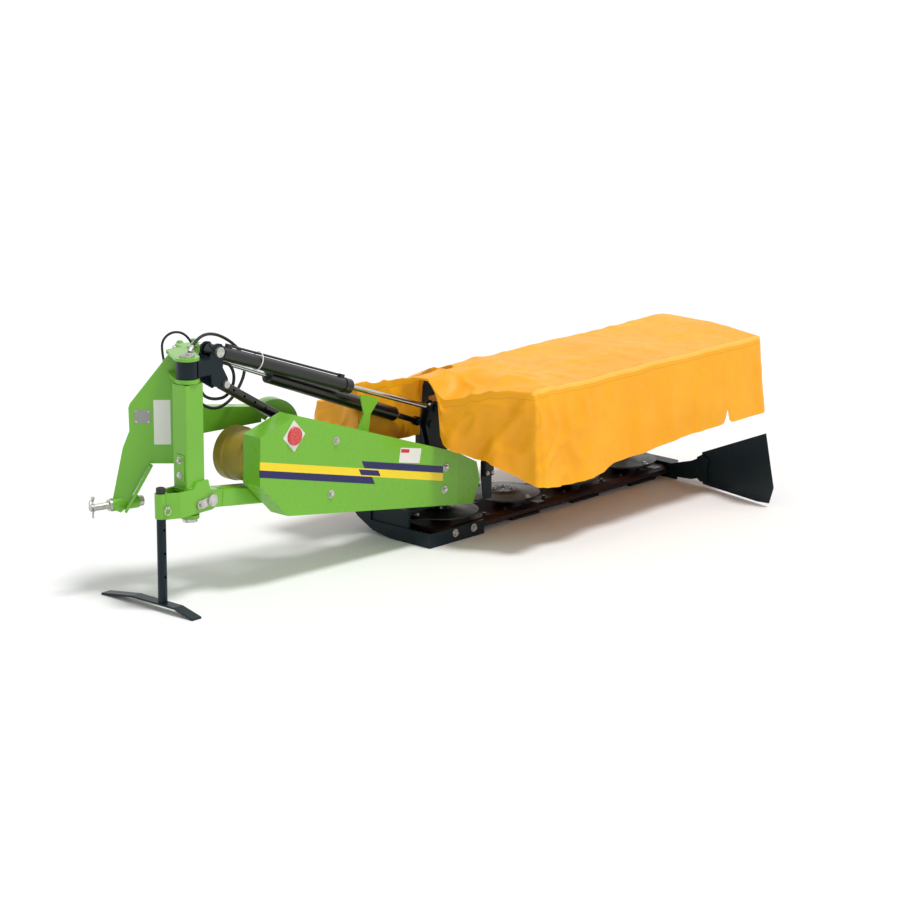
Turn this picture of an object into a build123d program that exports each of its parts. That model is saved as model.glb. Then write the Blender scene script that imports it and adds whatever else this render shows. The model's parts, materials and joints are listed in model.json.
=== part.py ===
from build123d import *
import math
import os

os.makedirs("parts", exist_ok=True)

# A rear three-point disc mower with a belt drive, resting on its parking stand.
# Millimetres, +Z up, +X outwards along the cutter bar, +Y towards the tractor.
# Everything is placed from the foot of the stand, and the last step moves it to the origin.

# Levels and main lines
mast_x = 155.0
mast_wide = 100.0
mast_deep = 80.0
mast_wall = 6.0
mast_bottom_z = 469.0
mast_top_z = 906.0
hinge_x = 222.0
hinge_z = 423.0
fold_x = 1620.0
fold_z = 238.0
head_pin_x = 285.0
head_pin_z = 1018.0
lever_pin_x = 1560.0
lever_pin_z = 557.0
float_pin_x = 290.0
float_pin_z = 985.0
link_pin_x = 1530.0
link_pin_z = 495.0
stay_pin_x = 320.0
stay_pin_z = 880.0
stay_lug_x = 1150.0
stay_lug_z = 385.0
lift_y = -8.0
float_y = 56.0
head_turn = -15.0
seat_gap = 0.3
running_gap = 0.05
plate = 12.0
sheet = 3.0

# Parking stand
stand_r = 19.0
stand_wall = 4.0
stand_top_z = 507.0
stand_hole_r = 6.0
stand_hole_first_z = 140.0
stand_hole_pitch = 97.0
stand_hole_count = 4
cap_length = 22.0
foot_front = 343.0
foot_rear = 197.0
foot_wide = 50.0
foot_thick = 8.0
foot_rise = 25.0
foot_flat_front = 160.0
foot_flat_rear = 90.0
socket_r = 25.0
socket_z0 = 381.0
socket_z1 = 483.0

# Mast foot bracket and hinge
bracket_bottom_z = 378.0
bracket_top_z = 482.0
bracket_bump_z = 508.0
bracket_left_x = 60.0
ear_r = 42.0
hinge_pin_r = 17.5
knuckle_r = 36.0
knuckle_half = 38.0

# Head bracket and swing pivot
swing_pin_r = 20.0
lower_ear_z = 910.0
upper_ear_z = 1001.0
lower_ear_thick = 16.0
upper_ear_thick = 12.0
foot_ear_z = 352.0
foot_ear_thick = 16.0
ear_outer_r = 50.0
cheek_thick = 10.0
cheek_rear_y = -44.0
cheek_front_y = 22.0
head_pin_r = 15.0

# Headstock, in its own turned frame with the swing axis at its zero
link_pin_left = -189.0
link_pin_span = 824.0
hitch_y = 255.0
hitch_z = 378.0
hitch_pin_r = 14.3
hitch_pin_out = 96.0
hitch_collar = 12.0
hitch_boss_r = 27.0
post_x = 70.0
post_y = 172.0
post_size = 60.0
post_wall = 6.0
beam_y = 232.0
beam_deep = 56.0
beam_wall = 8.0
arch_x = 520.0
arch_z = 612.0
arch_r = 115.0
arch_inner_r = 52.0
leg_wide = 45.0
leg_bottom_z = 340.0
top_link_x = 140.0
top_link_y = 262.0
top_link_z = 988.0
top_link_gap = 52.0
top_link_r = 12.7
left_plate_thick = 14.0
left_plate_angle = -32.0
left_boss_in = 84.0
right_sleeve_in = 10.0

# Arm
arm_half = 40.0
arm_high = 74.0
arm_wall = 6.0
arm_start = 78.0
arm_end = 1230.0
fork_r = 45.0
fork_inner = 38.5
fork_thick = 10.0
fork_back = 190.0
fold_shaft_r = 20.0
guard_front_y = -50.0
guard_rear_y = -150.0
guard_taper = 28.0
guard_taper_x = 1560.0
bell_x = 500.0
bell_z = 542.0
bell_r = 112.0
bell_front_y = 110.0
shaft_r = 17.45
shaft_shoulder_r = 24.0
shaft_free = 86.0
reflector_x = 596.0
reflector_z = 634.0
reflector_r = 38.0

# Cylinders
lift_r = 29.0
lift_bore_r = 23.0
lift_body_end = 820.0
lift_rod_r = 11.0
float_r = 30.0
float_bore_r = 26.0
float_can_start = 387.0
float_can_end = 1183.0
float_rod_r = 9.0
float_rod_end = 600.0
stay_r = 21.0
stay_bore_r = 17.5
stay_tube_end = 600.0
stay_rod_start = 450.0

# Cutter bar
disc_count = 4
disc_first_x = 1640.0
disc_pitch = 400.0
disc_y = 15.0
disc_r = 165.0
blade_tip_r = 225.0
blade_wide = 46.0
blade_thick = 4.0
bar_start_x = 1470.0
bar_end_x = 2990.0
bar_half = 145.0
bar_bottom_z = 10.0
bar_top_z = 56.0
hub_r = 45.0
hub_top_z = 73.7
disc_top_z = 104.0
shoe_left_x = 1385.0
shoe_right_x = 1716.0
shoe_rear_y = -171.0
shoe_flat_y = 60.0
shoe_toe_y = 330.0
shoe_toe_z = 140.0
outer_left_x = 2990.0
outer_right_x = 3058.0
frame_top_z = 140.0
gearbox_r = 62.0
end_y = -126.0
end_right_x = 1812.0

# Cover
cover_left_x = 1600.0
cover_flap_x = 1216.0
cover_past_shoe = 122.0
cover_right_x = outer_left_x + cover_past_shoe
cover_rear_y = -560.0
cover_front_y = 340.0
cover_flap_y = 96.0
cover_rear_z = 700.0
cover_ridge_z = 722.0
cover_front_z = 580.0
cover_hem_rear_z = 340.0
cover_hem_front_z = 330.0
cover_hem_side_z = 385.0
cover_thick = 4.0
cover_bar = 26.0
cover_post_in = 84.0
notch_x = 1660.0
notch_half = 34.0
wing_x = 1440.0
wing_y = -160.0
wing_tip_x = 1400.0
wing_hem_z = 360.0
cover_low_z = 240.0


def box(x0, x1, y0, y1, z0, z1):
    """A plain block between two corners."""
    return Pos((x0 + x1) / 2, (y0 + y1) / 2, (z0 + z1) / 2) * Box(abs(x1 - x0), abs(y1 - y0), abs(z1 - z0))


def round_bar(start, end, r):
    """A round bar between the centres of its two end faces."""
    a = Vector(*start)
    b = Vector(*end)
    return Solid.make_cylinder(r, (b - a).length, Plane(origin=a, z_dir=(b - a).normalized()))


def along_y(x, z, r, y0, y1):
    return round_bar((x, y0, z), (x, y1, z), r)


def along_z(x, y, r, z0, z1):
    return round_bar((x, y, z0), (x, y, z1), r)


def along_x(y, z, r, x0, x1):
    return round_bar((x0, y, z), (x1, y, z), r)


def plate_xz(points, y0, y1):
    """A flat plate with its outline in X and Z."""
    edge = Polyline(*[(x, y0, z) for x, z in points], close=True)
    return extrude(make_face(edge), amount=y1 - y0, dir=(0, 1, 0))


def plate_yz(points, x0, x1):
    edge = Polyline(*[(x0, y, z) for y, z in points], close=True)
    return extrude(make_face(edge), amount=x1 - x0, dir=(1, 0, 0))


def plate_xy(points, z0, z1):
    edge = Polyline(*[(x, y, z0) for x, y in points], close=True)
    return extrude(make_face(edge), amount=z1 - z0, dir=(0, 0, 1))


def rounded_xz(circles, y0, y1):
    """A plate whose outline wraps round circles (x, z, r)."""
    rings = Sketch() + [Pos(x, z) * Circle(r) for x, z, r in circles]
    outline = make_hull(rings.edges())
    turned = Plane(origin=(0, y1, 0), x_dir=(1, 0, 0), z_dir=(0, -1, 0)) * outline
    return extrude(turned, amount=y1 - y0, dir=(0, -1, 0))


def rounded_yz(circles, x0, x1):
    rings = Sketch() + [Pos(y, z) * Circle(r) for y, z, r in circles]
    outline = make_hull(rings.edges())
    turned = Plane(origin=(x0, 0, 0), x_dir=(0, 1, 0), z_dir=(1, 0, 0)) * outline
    return extrude(turned, amount=x1 - x0, dir=(1, 0, 0))


def rounded_xy(circles, z0, z1):
    rings = Sketch() + [Pos(x, y) * Circle(r) for x, y, r in circles]
    outline = make_hull(rings.edges())
    return Pos(0, 0, z0) * extrude(outline, amount=z1 - z0)


def in_line(start, end, y):
    """The frame of a strut: its zero at the first pin, its Z towards the second, its Y kept."""
    a = Vector(start[0], y, start[1])
    b = Vector(end[0], y, end[1])
    return Plane(origin=a, x_dir=(0, 1, 0), z_dir=(b - a).normalized()), (b - a).length


# Hydraulic hoses: straight runs with tangent arcs between them

hose_r = 6.5
left_hose_r = 5.0
fitting_r = 9.0
over_route = [
    (174, -6, 1044), (206, 4, 1067), (261, 22, 1080), (340, 54, 1070), (437, 92, 1036), (527, 110, 981),
    (583, 121, 919), (587, 123, 855), (552, 123, 797), (498, 123, 750), (426, 123, 731), (357, 122, 754),
    (300, 100, 801), (254, 70, 832), (224, 46, 866),
]
inner_route = [
    (240, 26, 880), (254, 28, 849), (282, 32, 820), (335.4, 33, 802), (396.6, 33, 802), (440, 33, 845.4),
    (440, 33, 906.6), (396.6, 33, 950), (336.1, 33, 950),
]
left_route = [
    (184.8, 167.5, 960), (178.7, 171.5, 1000), (178.7, 171.5, 1047.3), (206.3, 153.3, 1080.4),
    (245.2, 127.7, 1080.4), (273.3, 109.2, 1049), (281.7, 103.7, 1023),
]


def hose(points, r=hose_r):
    spots = [Vector(*p) for p in points]
    radii = []
    for a, b, c in zip(spots, spots[1:], spots[2:]):
        turn = math.radians((b - a).get_angle(c - b))
        radii.append(0.45 * min((b - a).length, (c - b).length) / math.tan(turn / 2))
    path = FilletPolyline(*points, radius=radii)
    print("hose radii", [round(r) for r in radii], "length", round(path.length))
    tube = sweep(Plane(origin=path @ 0, z_dir=path % 0) * Circle(r), path=path)
    print("volume", round(tube.volume), "of", round(path.length * math.pi * r ** 2))
    return tube


def fitting(route, last, length):
    """A hose end: a sleeve round nothing, straight on from the first or the last point of a route."""
    end, beside = (route[-1], route[-2]) if last else (route[0], route[1])
    a = Vector(*end)
    away = (a - Vector(*beside)).normalized()
    return Solid.make_cylinder(fitting_r, length, Plane(origin=a, z_dir=away))


# Parking stand: a tube with pin holes, a black cap and a bent flat foot

def make_stand_leg():
    foot_top = foot_rise + foot_thick
    leg = along_z(0, 0, stand_r, foot_top, stand_top_z - cap_length)
    leg -= along_z(0, 0, stand_r - stand_wall, foot_top, stand_top_z - cap_length)
    for number in range(stand_hole_count):
        level = stand_hole_first_z + number * stand_hole_pitch
        leg -= along_y(0, level, stand_hole_r, -stand_r - 1, stand_r + 1)
    return leg


def make_stand_cap():
    low = stand_top_z - cap_length
    return fillet(along_z(0, 0, stand_r, low, stand_top_z).edges().sort_by(Axis.Z)[-1], 5)


def make_stand_foot():
    t = foot_thick
    section = [
        (-foot_rear, 0), (-foot_flat_rear, foot_rise), (foot_flat_front, foot_rise), (foot_front, 0),
        (foot_front, t), (foot_flat_front, foot_rise + t), (-foot_flat_rear, foot_rise + t), (-foot_rear, t),
    ]
    return plate_yz(section, -foot_wide / 2, foot_wide / 2)


# Swing frame: mast, foot bracket with the stand socket, head bracket and pins

def make_mast():
    x0 = mast_x - mast_wide / 2
    tube = box(x0, x0 + mast_wide, -mast_deep / 2, mast_deep / 2, mast_bottom_z, mast_top_z)
    inner = box(x0 + mast_wall, x0 + mast_wide - mast_wall, mast_wall - mast_deep / 2,
                mast_deep / 2 - mast_wall, mast_bottom_z + plate, mast_top_z - plate)
    tube = fillet(tube.edges().filter_by(Axis.Z), 8) - inner
    pin_hole = along_z(mast_x, 0, swing_pin_r, mast_top_z - plate, mast_top_z)
    return tube - pin_hole


def make_foot_bracket():
    inner = mast_deep / 2
    outer = inner + plate
    right = mast_x + mast_wide / 2
    outline = [
        (bracket_left_x, bracket_bottom_z), (hinge_x, hinge_z - ear_r), (hinge_x, hinge_z + ear_r),
        (right + 6, bracket_bump_z), (right - 55, bracket_bump_z), (right - 75, bracket_top_z),
        (bracket_left_x, bracket_top_z),
    ]
    bracket = None
    for side in (-1, 1):
        y0, y1 = sorted((side * inner, side * outer))
        cheek = plate_xz(outline, y0, y1) + along_y(hinge_x, hinge_z, ear_r, y0, y1)
        wing = plate_xy([(8, side * 14), (bracket_left_x, side * inner), (bracket_left_x, side * outer),
                         (4, side * 26)], bracket_bottom_z, bracket_top_z)
        piece = cheek + wing
        bracket = piece if bracket is None else bracket + piece
    floor_plate = box(bracket_left_x, hinge_x - knuckle_r - 8, -inner, inner, bracket_bottom_z,
                      bracket_bottom_z + plate)
    socket = along_z(0, 0, socket_r, socket_z0, socket_z1)
    bracket += floor_plate + socket
    bracket -= along_z(0, 0, stand_r + 0.5, socket_z0 - 5, socket_z1 + 5)
    bracket -= along_y(hinge_x, hinge_z, hinge_pin_r, -outer - 1, outer + 1)
    bracket -= along_z(mast_x, 0, swing_pin_r, bracket_bottom_z - 1, bracket_bottom_z + plate + 1)
    bracket -= along_y(0, stand_hole_first_z + 3 * stand_hole_pitch, stand_hole_r, -60, 60)
    return bracket


def make_stand_clip():
    level = stand_hole_first_z + 3 * stand_hole_pitch
    pin = along_y(0, level, stand_hole_r, -socket_r - 22, -stand_r - 0.5)
    ring = Pos(0, -socket_r - 16, level - 15) * Rot(90, 0, 0) * Torus(15, 2.5)
    return pin + ring


def make_hinge_pin():
    outer = mast_deep / 2 + plate
    pin = along_y(hinge_x, hinge_z, hinge_pin_r, -outer - 16, outer + 14)
    head = along_y(hinge_x, hinge_z, 25, -outer - 16, -outer)
    flag = rounded_xz([(hinge_x, hinge_z, 18), (hinge_x - 62, hinge_z - 8, 18)], -outer - 10, -outer)
    bolt = along_y(hinge_x - 60, hinge_z - 8, 9, -outer - 18, -outer - 10)
    nut = along_y(hinge_x, hinge_z, 24, outer, outer + 14)
    return pin + head + flag + bolt + nut


def make_swing_pins():
    top = along_z(mast_x, 0, swing_pin_r, mast_top_z - plate, upper_ear_z + upper_ear_thick + 8)
    cap = along_z(mast_x, 0, 30, upper_ear_z + upper_ear_thick + seat_gap, upper_ear_z + upper_ear_thick + 10)
    cap += along_z(mast_x + 2, -9, 13, upper_ear_z + upper_ear_thick + 10, 1032) + fitting(over_route, False, 18)
    low = along_z(mast_x, 0, swing_pin_r, foot_ear_z - 12, bracket_bottom_z + plate)
    nut = along_z(mast_x, 0, 30, foot_ear_z - 14, foot_ear_z - seat_gap)
    return top + cap, low + nut


def make_head_bracket():
    boss_low = lower_ear_z + lower_ear_thick + seat_gap
    boss_high = upper_ear_z - seat_gap
    boss = along_z(mast_x, 0, 44, boss_low, boss_high)
    low = lower_ear_z + lower_ear_thick + 6
    high = upper_ear_z - 6
    clear_x = mast_x + ear_outer_r + 38
    cheek_line = [
        (mast_x + 20, low), (clear_x, low), (clear_x + 6, 894), (stay_pin_x - 8, stay_pin_z - 26),
        (stay_pin_x + 18, stay_pin_z - 12), (stay_pin_x + 14, stay_pin_z + 24), (308, 950), (314, 1000),
        (head_pin_x + 20, head_pin_z + 29), (head_pin_x - 24, head_pin_z + 24), (clear_x + 8, high + 16),
        (clear_x, high), (mast_x + 20, high),
    ]
    bracket = boss
    for y0 in (cheek_rear_y, cheek_front_y):
        cheek = plate_xz(cheek_line, y0, y0 + cheek_thick)
        cheek += along_y(head_pin_x, head_pin_z, 33, y0, y0 + cheek_thick)
        bracket += cheek
    bracket += box(mast_x + 30, 246, cheek_rear_y + 1, cheek_front_y + cheek_thick - 1, low, high)
    bracket -= along_z(mast_x, 0, swing_pin_r, boss_low - 1, boss_high + 1)
    through = (cheek_rear_y - 1, cheek_front_y + cheek_thick + 1)
    bracket -= along_y(head_pin_x, head_pin_z, head_pin_r, *through)
    bracket -= along_y(stay_pin_x, stay_pin_z, 10, *through)
    stub = along_y(float_pin_x, float_pin_z, 10, cheek_front_y + cheek_thick, float_y + 14)
    return bracket + stub


def make_head_pin():
    out = cheek_rear_y
    pin = along_y(head_pin_x, head_pin_z, head_pin_r, out - 14, cheek_front_y + cheek_thick)
    head = along_y(head_pin_x, head_pin_z, 21, out - 14, out)
    return pin + head


def make_stay_pin():
    out = cheek_rear_y
    pin = along_y(stay_pin_x, stay_pin_z, 10, out - 12, cheek_front_y + cheek_thick + 6)
    return pin + along_y(stay_pin_x, stay_pin_z, 15, out - 12, out)


# Headstock, drawn in its own frame: X across the tractor, Y forwards, zero on the swing axis

def headstock(shape):
    return Pos(mast_x, 0, 0) * Rot(0, 0, head_turn) * shape


def ear_outline(z0, thick):
    ear = rounded_xy([(0, 0, ear_outer_r), (0, 150, 14), (post_x + 14, post_y - 6, 14)], z0, z0 + thick)
    ear -= box(post_x, post_x + post_size, post_y, post_y + post_size, z0 - 1, z0 + thick + 1)
    return ear - along_z(0, 0, swing_pin_r + running_gap, z0 - 1, z0 + thick + 1)


def make_swing_ears():
    ears = [ear_outline(lower_ear_z, lower_ear_thick), ear_outline(upper_ear_z, upper_ear_thick)]
    foot_ear = rounded_xy([(0, 0, 38), (post_x + 20, post_y - 14, 20), (post_x + post_size - 14, post_y - 14, 14)],
                          foot_ear_z, foot_ear_z + foot_ear_thick)
    foot_ear -= along_z(0, 0, swing_pin_r + running_gap, foot_ear_z - 1, foot_ear_z + foot_ear_thick + 1)
    foot_ear -= box(post_x, post_x + post_size, post_y, post_y + post_size, 300, 400)
    return headstock(ears[0]), headstock(ears[1]), headstock(foot_ear)


def make_post():
    top = upper_ear_z + upper_ear_thick
    tube = box(post_x, post_x + post_size, post_y, post_y + post_size, leg_bottom_z + 4, top)
    tube -= box(post_x + post_wall, post_x + post_size - post_wall, post_y + post_wall,
                post_y + post_size - post_wall, leg_bottom_z + 4 + post_wall, top - post_wall)
    return headstock(tube)


def make_left_plate():
    outline = [
        (-22, 405), (-14, 352), (8, 343), (24, 356), (131, 548), (262, 548), (262, 1000), (215, 1000),
        (193, 972), (54, 795), (48, 778), (50, 683), (22, 613),
    ]
    flat = plate_xz(outline, -left_plate_thick / 2, left_plate_thick / 2)
    boss = along_x(0, hitch_z, hitch_boss_r, -34, left_boss_in)
    placed = Pos(link_pin_left, hitch_y, 0) * (Rot(0, 0, left_plate_angle) * flat + boss)
    flange = Pos(link_pin_left, hitch_y, 0) * Rot(0, 0, left_plate_angle) * plate_xz(
        [(26, 356), (36, 350), (143, 542), (131, 548)], -left_plate_thick / 2 - 38, -left_plate_thick / 2)
    placed += flange
    placed -= Pos(link_pin_left, hitch_y, 0) * along_x(0, hitch_z, hitch_pin_r, -60, left_boss_in + 1)
    for z0, thick in ((lower_ear_z, lower_ear_thick), (upper_ear_z, upper_ear_thick)):
        placed -= ear_outline(z0, thick)
    return headstock(placed)


def make_headstock_frame():
    ear_low, ear_high, ear_foot = make_swing_ears()
    return make_left_plate() + ear_low + ear_high + ear_foot + make_post()


def gooseneck_face(inset):
    right = link_pin_left + link_pin_span
    beam = Polygon((-100 + inset, 615 + inset), (arch_x - 60, 638 + inset), (arch_x - 60, 704 - inset),
                   (200, 735 - inset), (-100 + inset, 742 - inset), align=None)
    ring = Pos(arch_x, arch_z) * (Circle(arch_r - inset) - Circle(arch_inner_r + inset))
    keep = Pos(arch_x, arch_z) * Polygon((0, 0), (200, 0), (200, 200), (-150, 200), (-150, 110), align=None)
    leg = Polygon((right - leg_wide + inset, leg_bottom_z + inset), (right - inset, leg_bottom_z + inset),
                  (right - inset, arch_z), (arch_x + arch_inner_r + inset, arch_z), align=None)
    return beam + (ring & keep) + leg


def make_gooseneck():
    turned = Plane(origin=(0, beam_y + beam_deep, 0), x_dir=(1, 0, 0), z_dir=(0, -1, 0))
    back = (0, -1, 0)
    solid = extrude(turned * gooseneck_face(0), amount=beam_deep, dir=back)
    inner = extrude(Pos(0, -beam_wall, 0) * (turned * gooseneck_face(beam_wall)),
                    amount=beam_deep - 2 * beam_wall, dir=back)
    neck = solid - inner
    right = link_pin_left + link_pin_span
    sleeve = along_x(hitch_y, hitch_z, hitch_boss_r, right - leg_wide - right_sleeve_in, right)
    neck += sleeve
    neck -= along_x(hitch_y, hitch_z, hitch_pin_r, right - leg_wide - right_sleeve_in - 1, right + 1)
    return headstock(neck)


def make_hitch_pin(side):
    right = link_pin_left + link_pin_span
    if side < 0:
        face = link_pin_left - 34
        inner = link_pin_left + left_boss_in + 26
        tip = link_pin_left - 34 - hitch_pin_out
    else:
        face = right
        inner = right - leg_wide - right_sleeve_in - 26
        tip = right + hitch_pin_out
    pin = along_x(hitch_y, hitch_z, hitch_pin_r, inner, tip)
    collar = along_x(hitch_y, hitch_z, 24, face, face + side * hitch_collar)
    neck_end = face + side * (hitch_collar + 2)
    neck = along_x(hitch_y, hitch_z, 20, face + side * hitch_collar, neck_end)
    neck -= along_x(hitch_y, hitch_z, hitch_pin_r - 1, face + side * hitch_collar, neck_end)
    back = link_pin_left + left_boss_in if side < 0 else right - leg_wide - right_sleeve_in
    nut = along_x(hitch_y, hitch_z, 22, back, back - side * 22)
    hole = along_z(tip - side * 14, hitch_y, 6, hitch_z - 40, hitch_z + 40)
    pin = fillet(pin.edges().group_by(Axis.X)[0 if side < 0 else -1], 3)
    return headstock(pin + collar + nut - neck - hole)


def make_clevis():
    base = 736.0
    plates = None
    for side in (-1, 1):
        x0, x1 = sorted((top_link_x + side * top_link_gap / 2, top_link_x + side * (top_link_gap / 2 + plate)))
        ear = rounded_yz([(top_link_y, top_link_z, 30), (beam_y + 8, base + 8, 8), (beam_y + beam_deep - 8, base + 8, 8)],
                         x0, x1)
        ear -= along_x(top_link_y, top_link_z, top_link_r, x0 - 1, x1 + 1)
        plates = ear if plates is None else plates + ear
    brace = box(top_link_x - top_link_gap / 2, top_link_x + top_link_gap / 2, beam_y + 6, beam_y + 16, base + 4, 900)
    return headstock(plates + brace) - make_gooseneck()


def make_top_link_pin():
    half = top_link_gap / 2 + plate
    pin = along_x(top_link_y, top_link_z, top_link_r, top_link_x - half - 26, top_link_x + half + 20)
    collar = along_x(top_link_y, top_link_z, 19, top_link_x - half - 12, top_link_x - half)
    return headstock(pin + collar)


# Arm: a beam with a knuckle at the mast and a fork at the fold, and the belt drive on it

def arm_frame():
    return Plane(origin=(hinge_x, 0, hinge_z), x_dir=(fold_x - hinge_x, 0, fold_z - hinge_z), z_dir=(
        -(fold_z - hinge_z), 0, fold_x - hinge_x))


def make_arm_beam():
    half = arm_high / 2
    tube = box(arm_start, arm_end, -arm_half, arm_half, -half, half)
    tube = fillet(tube.edges().filter_by(Axis.X), 8)
    tube -= box(arm_start + plate, arm_end - plate, arm_wall - arm_half, arm_half - arm_wall, arm_wall - half,
                half - arm_wall)
    knuckle = along_y(0, 0, knuckle_r, -knuckle_half, knuckle_half)
    knuckle += box(0, arm_start, -knuckle_half, knuckle_half, -knuckle_r, knuckle_r)
    knuckle -= along_y(0, 0, hinge_pin_r + running_gap, -knuckle_half - 1, knuckle_half + 1)
    length = math.hypot(fold_x - hinge_x, fold_z - hinge_z)
    beam = tube + knuckle
    for side in (-1, 1):
        y0, y1 = sorted((side * arm_half, side * (arm_half + fork_thick)))
        cheek = rounded_xz([(length, 0, fork_r), (arm_end - fork_back, 0, half)], y0, y1)
        beam += cheek - along_y(length, 0, fold_shaft_r, y0 - 1, y1 + 1)
    placed = arm_frame() * beam
    lug = rounded_xz([(stay_lug_x, stay_lug_z, 22), (stay_lug_x - 60, 346, 8), (stay_lug_x + 40, 334, 8)], -36, -26)
    lug += rounded_xz([(stay_lug_x, stay_lug_z, 22), (stay_lug_x - 60, 346, 8), (stay_lug_x + 40, 334, 8)], 26, 36)
    return placed + (lug - placed)


def make_stay_lug_pin():
    return along_y(stay_lug_x, stay_lug_z, 14, -44, -36), along_y(stay_lug_x, stay_lug_z, 14, 36, 44)


def make_fold_shaft():
    reach = arm_half + fork_thick
    shaft = along_y(fold_x, fold_z, fold_shaft_r, guard_front_y - 8, reach + 4)
    return shaft + along_y(fold_x, fold_z, 30, reach, reach + 4)


guard_line = [
    (402, 460), (408, 660), (614, 716), (1560, 388), (1709, 314), (1733, 229), (1684, 136), (558, 305),
]


def guard_body(inset):
    face = Polygon(*guard_line, align=None)
    if inset:
        face = offset(face, amount=-inset, kind=Kind.INTERSECTION)
    depth = guard_front_y - guard_rear_y
    turned = Plane(origin=(0, guard_front_y, 0), x_dir=(1, 0, 0), z_dir=(0, -1, 0)) * face
    body = extrude(turned, amount=depth - inset, dir=(0, -1, 0))
    rear = guard_rear_y + inset
    wedge = plate_xy([(guard_taper_x, rear - 1), (1800, rear - 1), (1800, rear + guard_taper)], 0, 800)
    return body - wedge


def make_guard():
    shell = guard_body(0) - guard_body(sheet)
    return shell


def make_guard_back():
    face = offset(Polygon(*guard_line, align=None), amount=-6, kind=Kind.INTERSECTION)
    turned = Plane(origin=(0, guard_front_y, 0), x_dir=(1, 0, 0), z_dir=(0, -1, 0)) * face
    back = extrude(turned, amount=5, dir=(0, -1, 0))
    back -= along_y(bell_x, bell_z, 45, guard_front_y - 10, guard_front_y + 10)
    return back - along_y(fold_x, fold_z, 32, guard_front_y - 10, guard_front_y + 10)


def make_bell():
    wall = 4.0
    front = bell_front_y
    rear = guard_front_y + seat_gap
    outer = [(0, rear), (bell_r - 14, rear), (bell_r - 10, rear + 12), (bell_r - 4, front - 52), (bell_r, front - 44),
             (bell_r, front)]
    inner = [(bell_r - wall, front), (bell_r - wall, front - 42), (bell_r - 4 - wall, front - 50),
             (bell_r - 10 - wall, rear + wall), (0, rear + wall)]
    profile = make_face(Polyline(*[(r, y, 0) for r, y in outer + inner], close=True))
    bell = Pos(bell_x, 0, bell_z) * revolve(profile, Axis.Y)
    bell -= along_y(bell_x, bell_z, 62, rear - 1, rear + wall + 1)
    window = box(bell_x + bell_r - 40, bell_x + bell_r + 10, rear + 40, rear + 92, bell_z - 20, bell_z + 50)
    return bell - window


def make_input_housing():
    rear = guard_front_y
    body = along_y(bell_x, bell_z, 44, rear - 30, rear + 22) + along_y(bell_x, bell_z, 62, rear + 4.5, rear + 14)
    return body - along_y(bell_x, bell_z, shaft_shoulder_r, rear - 31, rear + 23)


def make_input_shaft():
    y0 = guard_front_y - 28
    face = guard_front_y + 22
    y1 = face + shaft_free + 2
    shaft = along_y(bell_x, bell_z, shaft_shoulder_r, y0, face) + along_y(bell_x, bell_z, shaft_r, face, y1)
    relief = along_y(bell_x, bell_z, 20, face, face + 2) - along_y(bell_x, bell_z, shaft_r - 1.5, face, face + 2)
    return shaft - relief


def make_reflector():
    rear = guard_rear_y
    half = 62.0
    mount = plate_xz([(reflector_x, reflector_z + half + 4), (reflector_x + half, reflector_z),
                      (reflector_x, reflector_z - half - 4), (reflector_x - half, reflector_z)], rear - 2, rear)
    lens = along_y(reflector_x, reflector_z, reflector_r, rear - 12, rear - 2)
    return mount, fillet(lens.edges().sort_by(Axis.Y)[0], 4)


def make_end_plate():
    """A standing plate and a cover beyond the guard's outer end, carried by the hinge frame's roof."""
    outline = [(1762, frame_top_z), (end_right_x, frame_top_z), (end_right_x, 322), (1800, 334), (1760, 336),
               (1748, 300), (1748, 236)]
    stand = plate_xz(outline, end_y, end_y + 6)
    foot = plate_xy([(shoe_right_x - 16, -36), (shoe_right_x - 16, end_y + 20), (shoe_right_x + 4, end_y),
                     (end_right_x, end_y), (end_right_x, end_y + 40), (1760, -36)], frame_top_z - 8, frame_top_z)
    side = box(end_right_x - 6, end_right_x, end_y + 6, end_y + 40, frame_top_z, 300)
    lid = plate_xz([(1754, 238), (1806, 238), (1806, 322), (1764, 328), (1754, 298)], end_y - 22, end_y)
    lid = fillet(lid.edges().filter_by(Axis.Y), 6)
    return stand + foot + side, fillet(lid.faces().sort_by(Axis.Y)[0].edges(), 5)


def make_strap():
    y0 = lift_y - lift_r - 13
    line = [(1066, 552), (1130, 529), (1142, 610), (1194, 664), (1176, 676), (1082, 706), (1104, 620)]
    strap = plate_xz(line, y0, y0 + 6)
    foot = plate_xz([(1066, 558), (1130, 535), (1130, 529), (1066, 551)], y0, y0 + 40)
    return (strap + foot) - guard_body(0)


# Struts between the head bracket and the lever or the beam

def place(frame, shape):
    return frame * shape


def make_lift():
    frame, length = in_line((head_pin_x, head_pin_z), (lever_pin_x, lever_pin_z), lift_y)
    barrel = along_z(0, 0, lift_r, 50, lift_body_end)
    eye = along_x(0, 0, 26, -21, 21)
    barrel += eye + box(-16, 16, -20, 20, 0, 52)
    barrel += along_z(0, 0, lift_r + 3, lift_body_end - 40, lift_body_end)
    barrel -= along_z(0, 0, lift_bore_r, 70, lift_body_end - 40)
    barrel -= along_z(0, 0, lift_rod_r + running_gap, lift_body_end - 41, lift_body_end + 1)
    barrel -= along_x(0, 0, head_pin_r + running_gap, -30, 30)
    for level in (84, 760):
        barrel += box(-10, 10, lift_r - 5, lift_r + 13, level - 12, level + 12)
    barrel += round_bar((0, lift_r + 7, 90), (0, lift_r + 7, 756), 5)
    rod = along_z(0, 0, lift_rod_r, 660, length - 18) + along_z(0, 0, lift_bore_r - 0.2, 660, 690)
    rod += along_x(0, length, 24, -12, 12)
    return place(frame, barrel), place(frame, rod)


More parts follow.
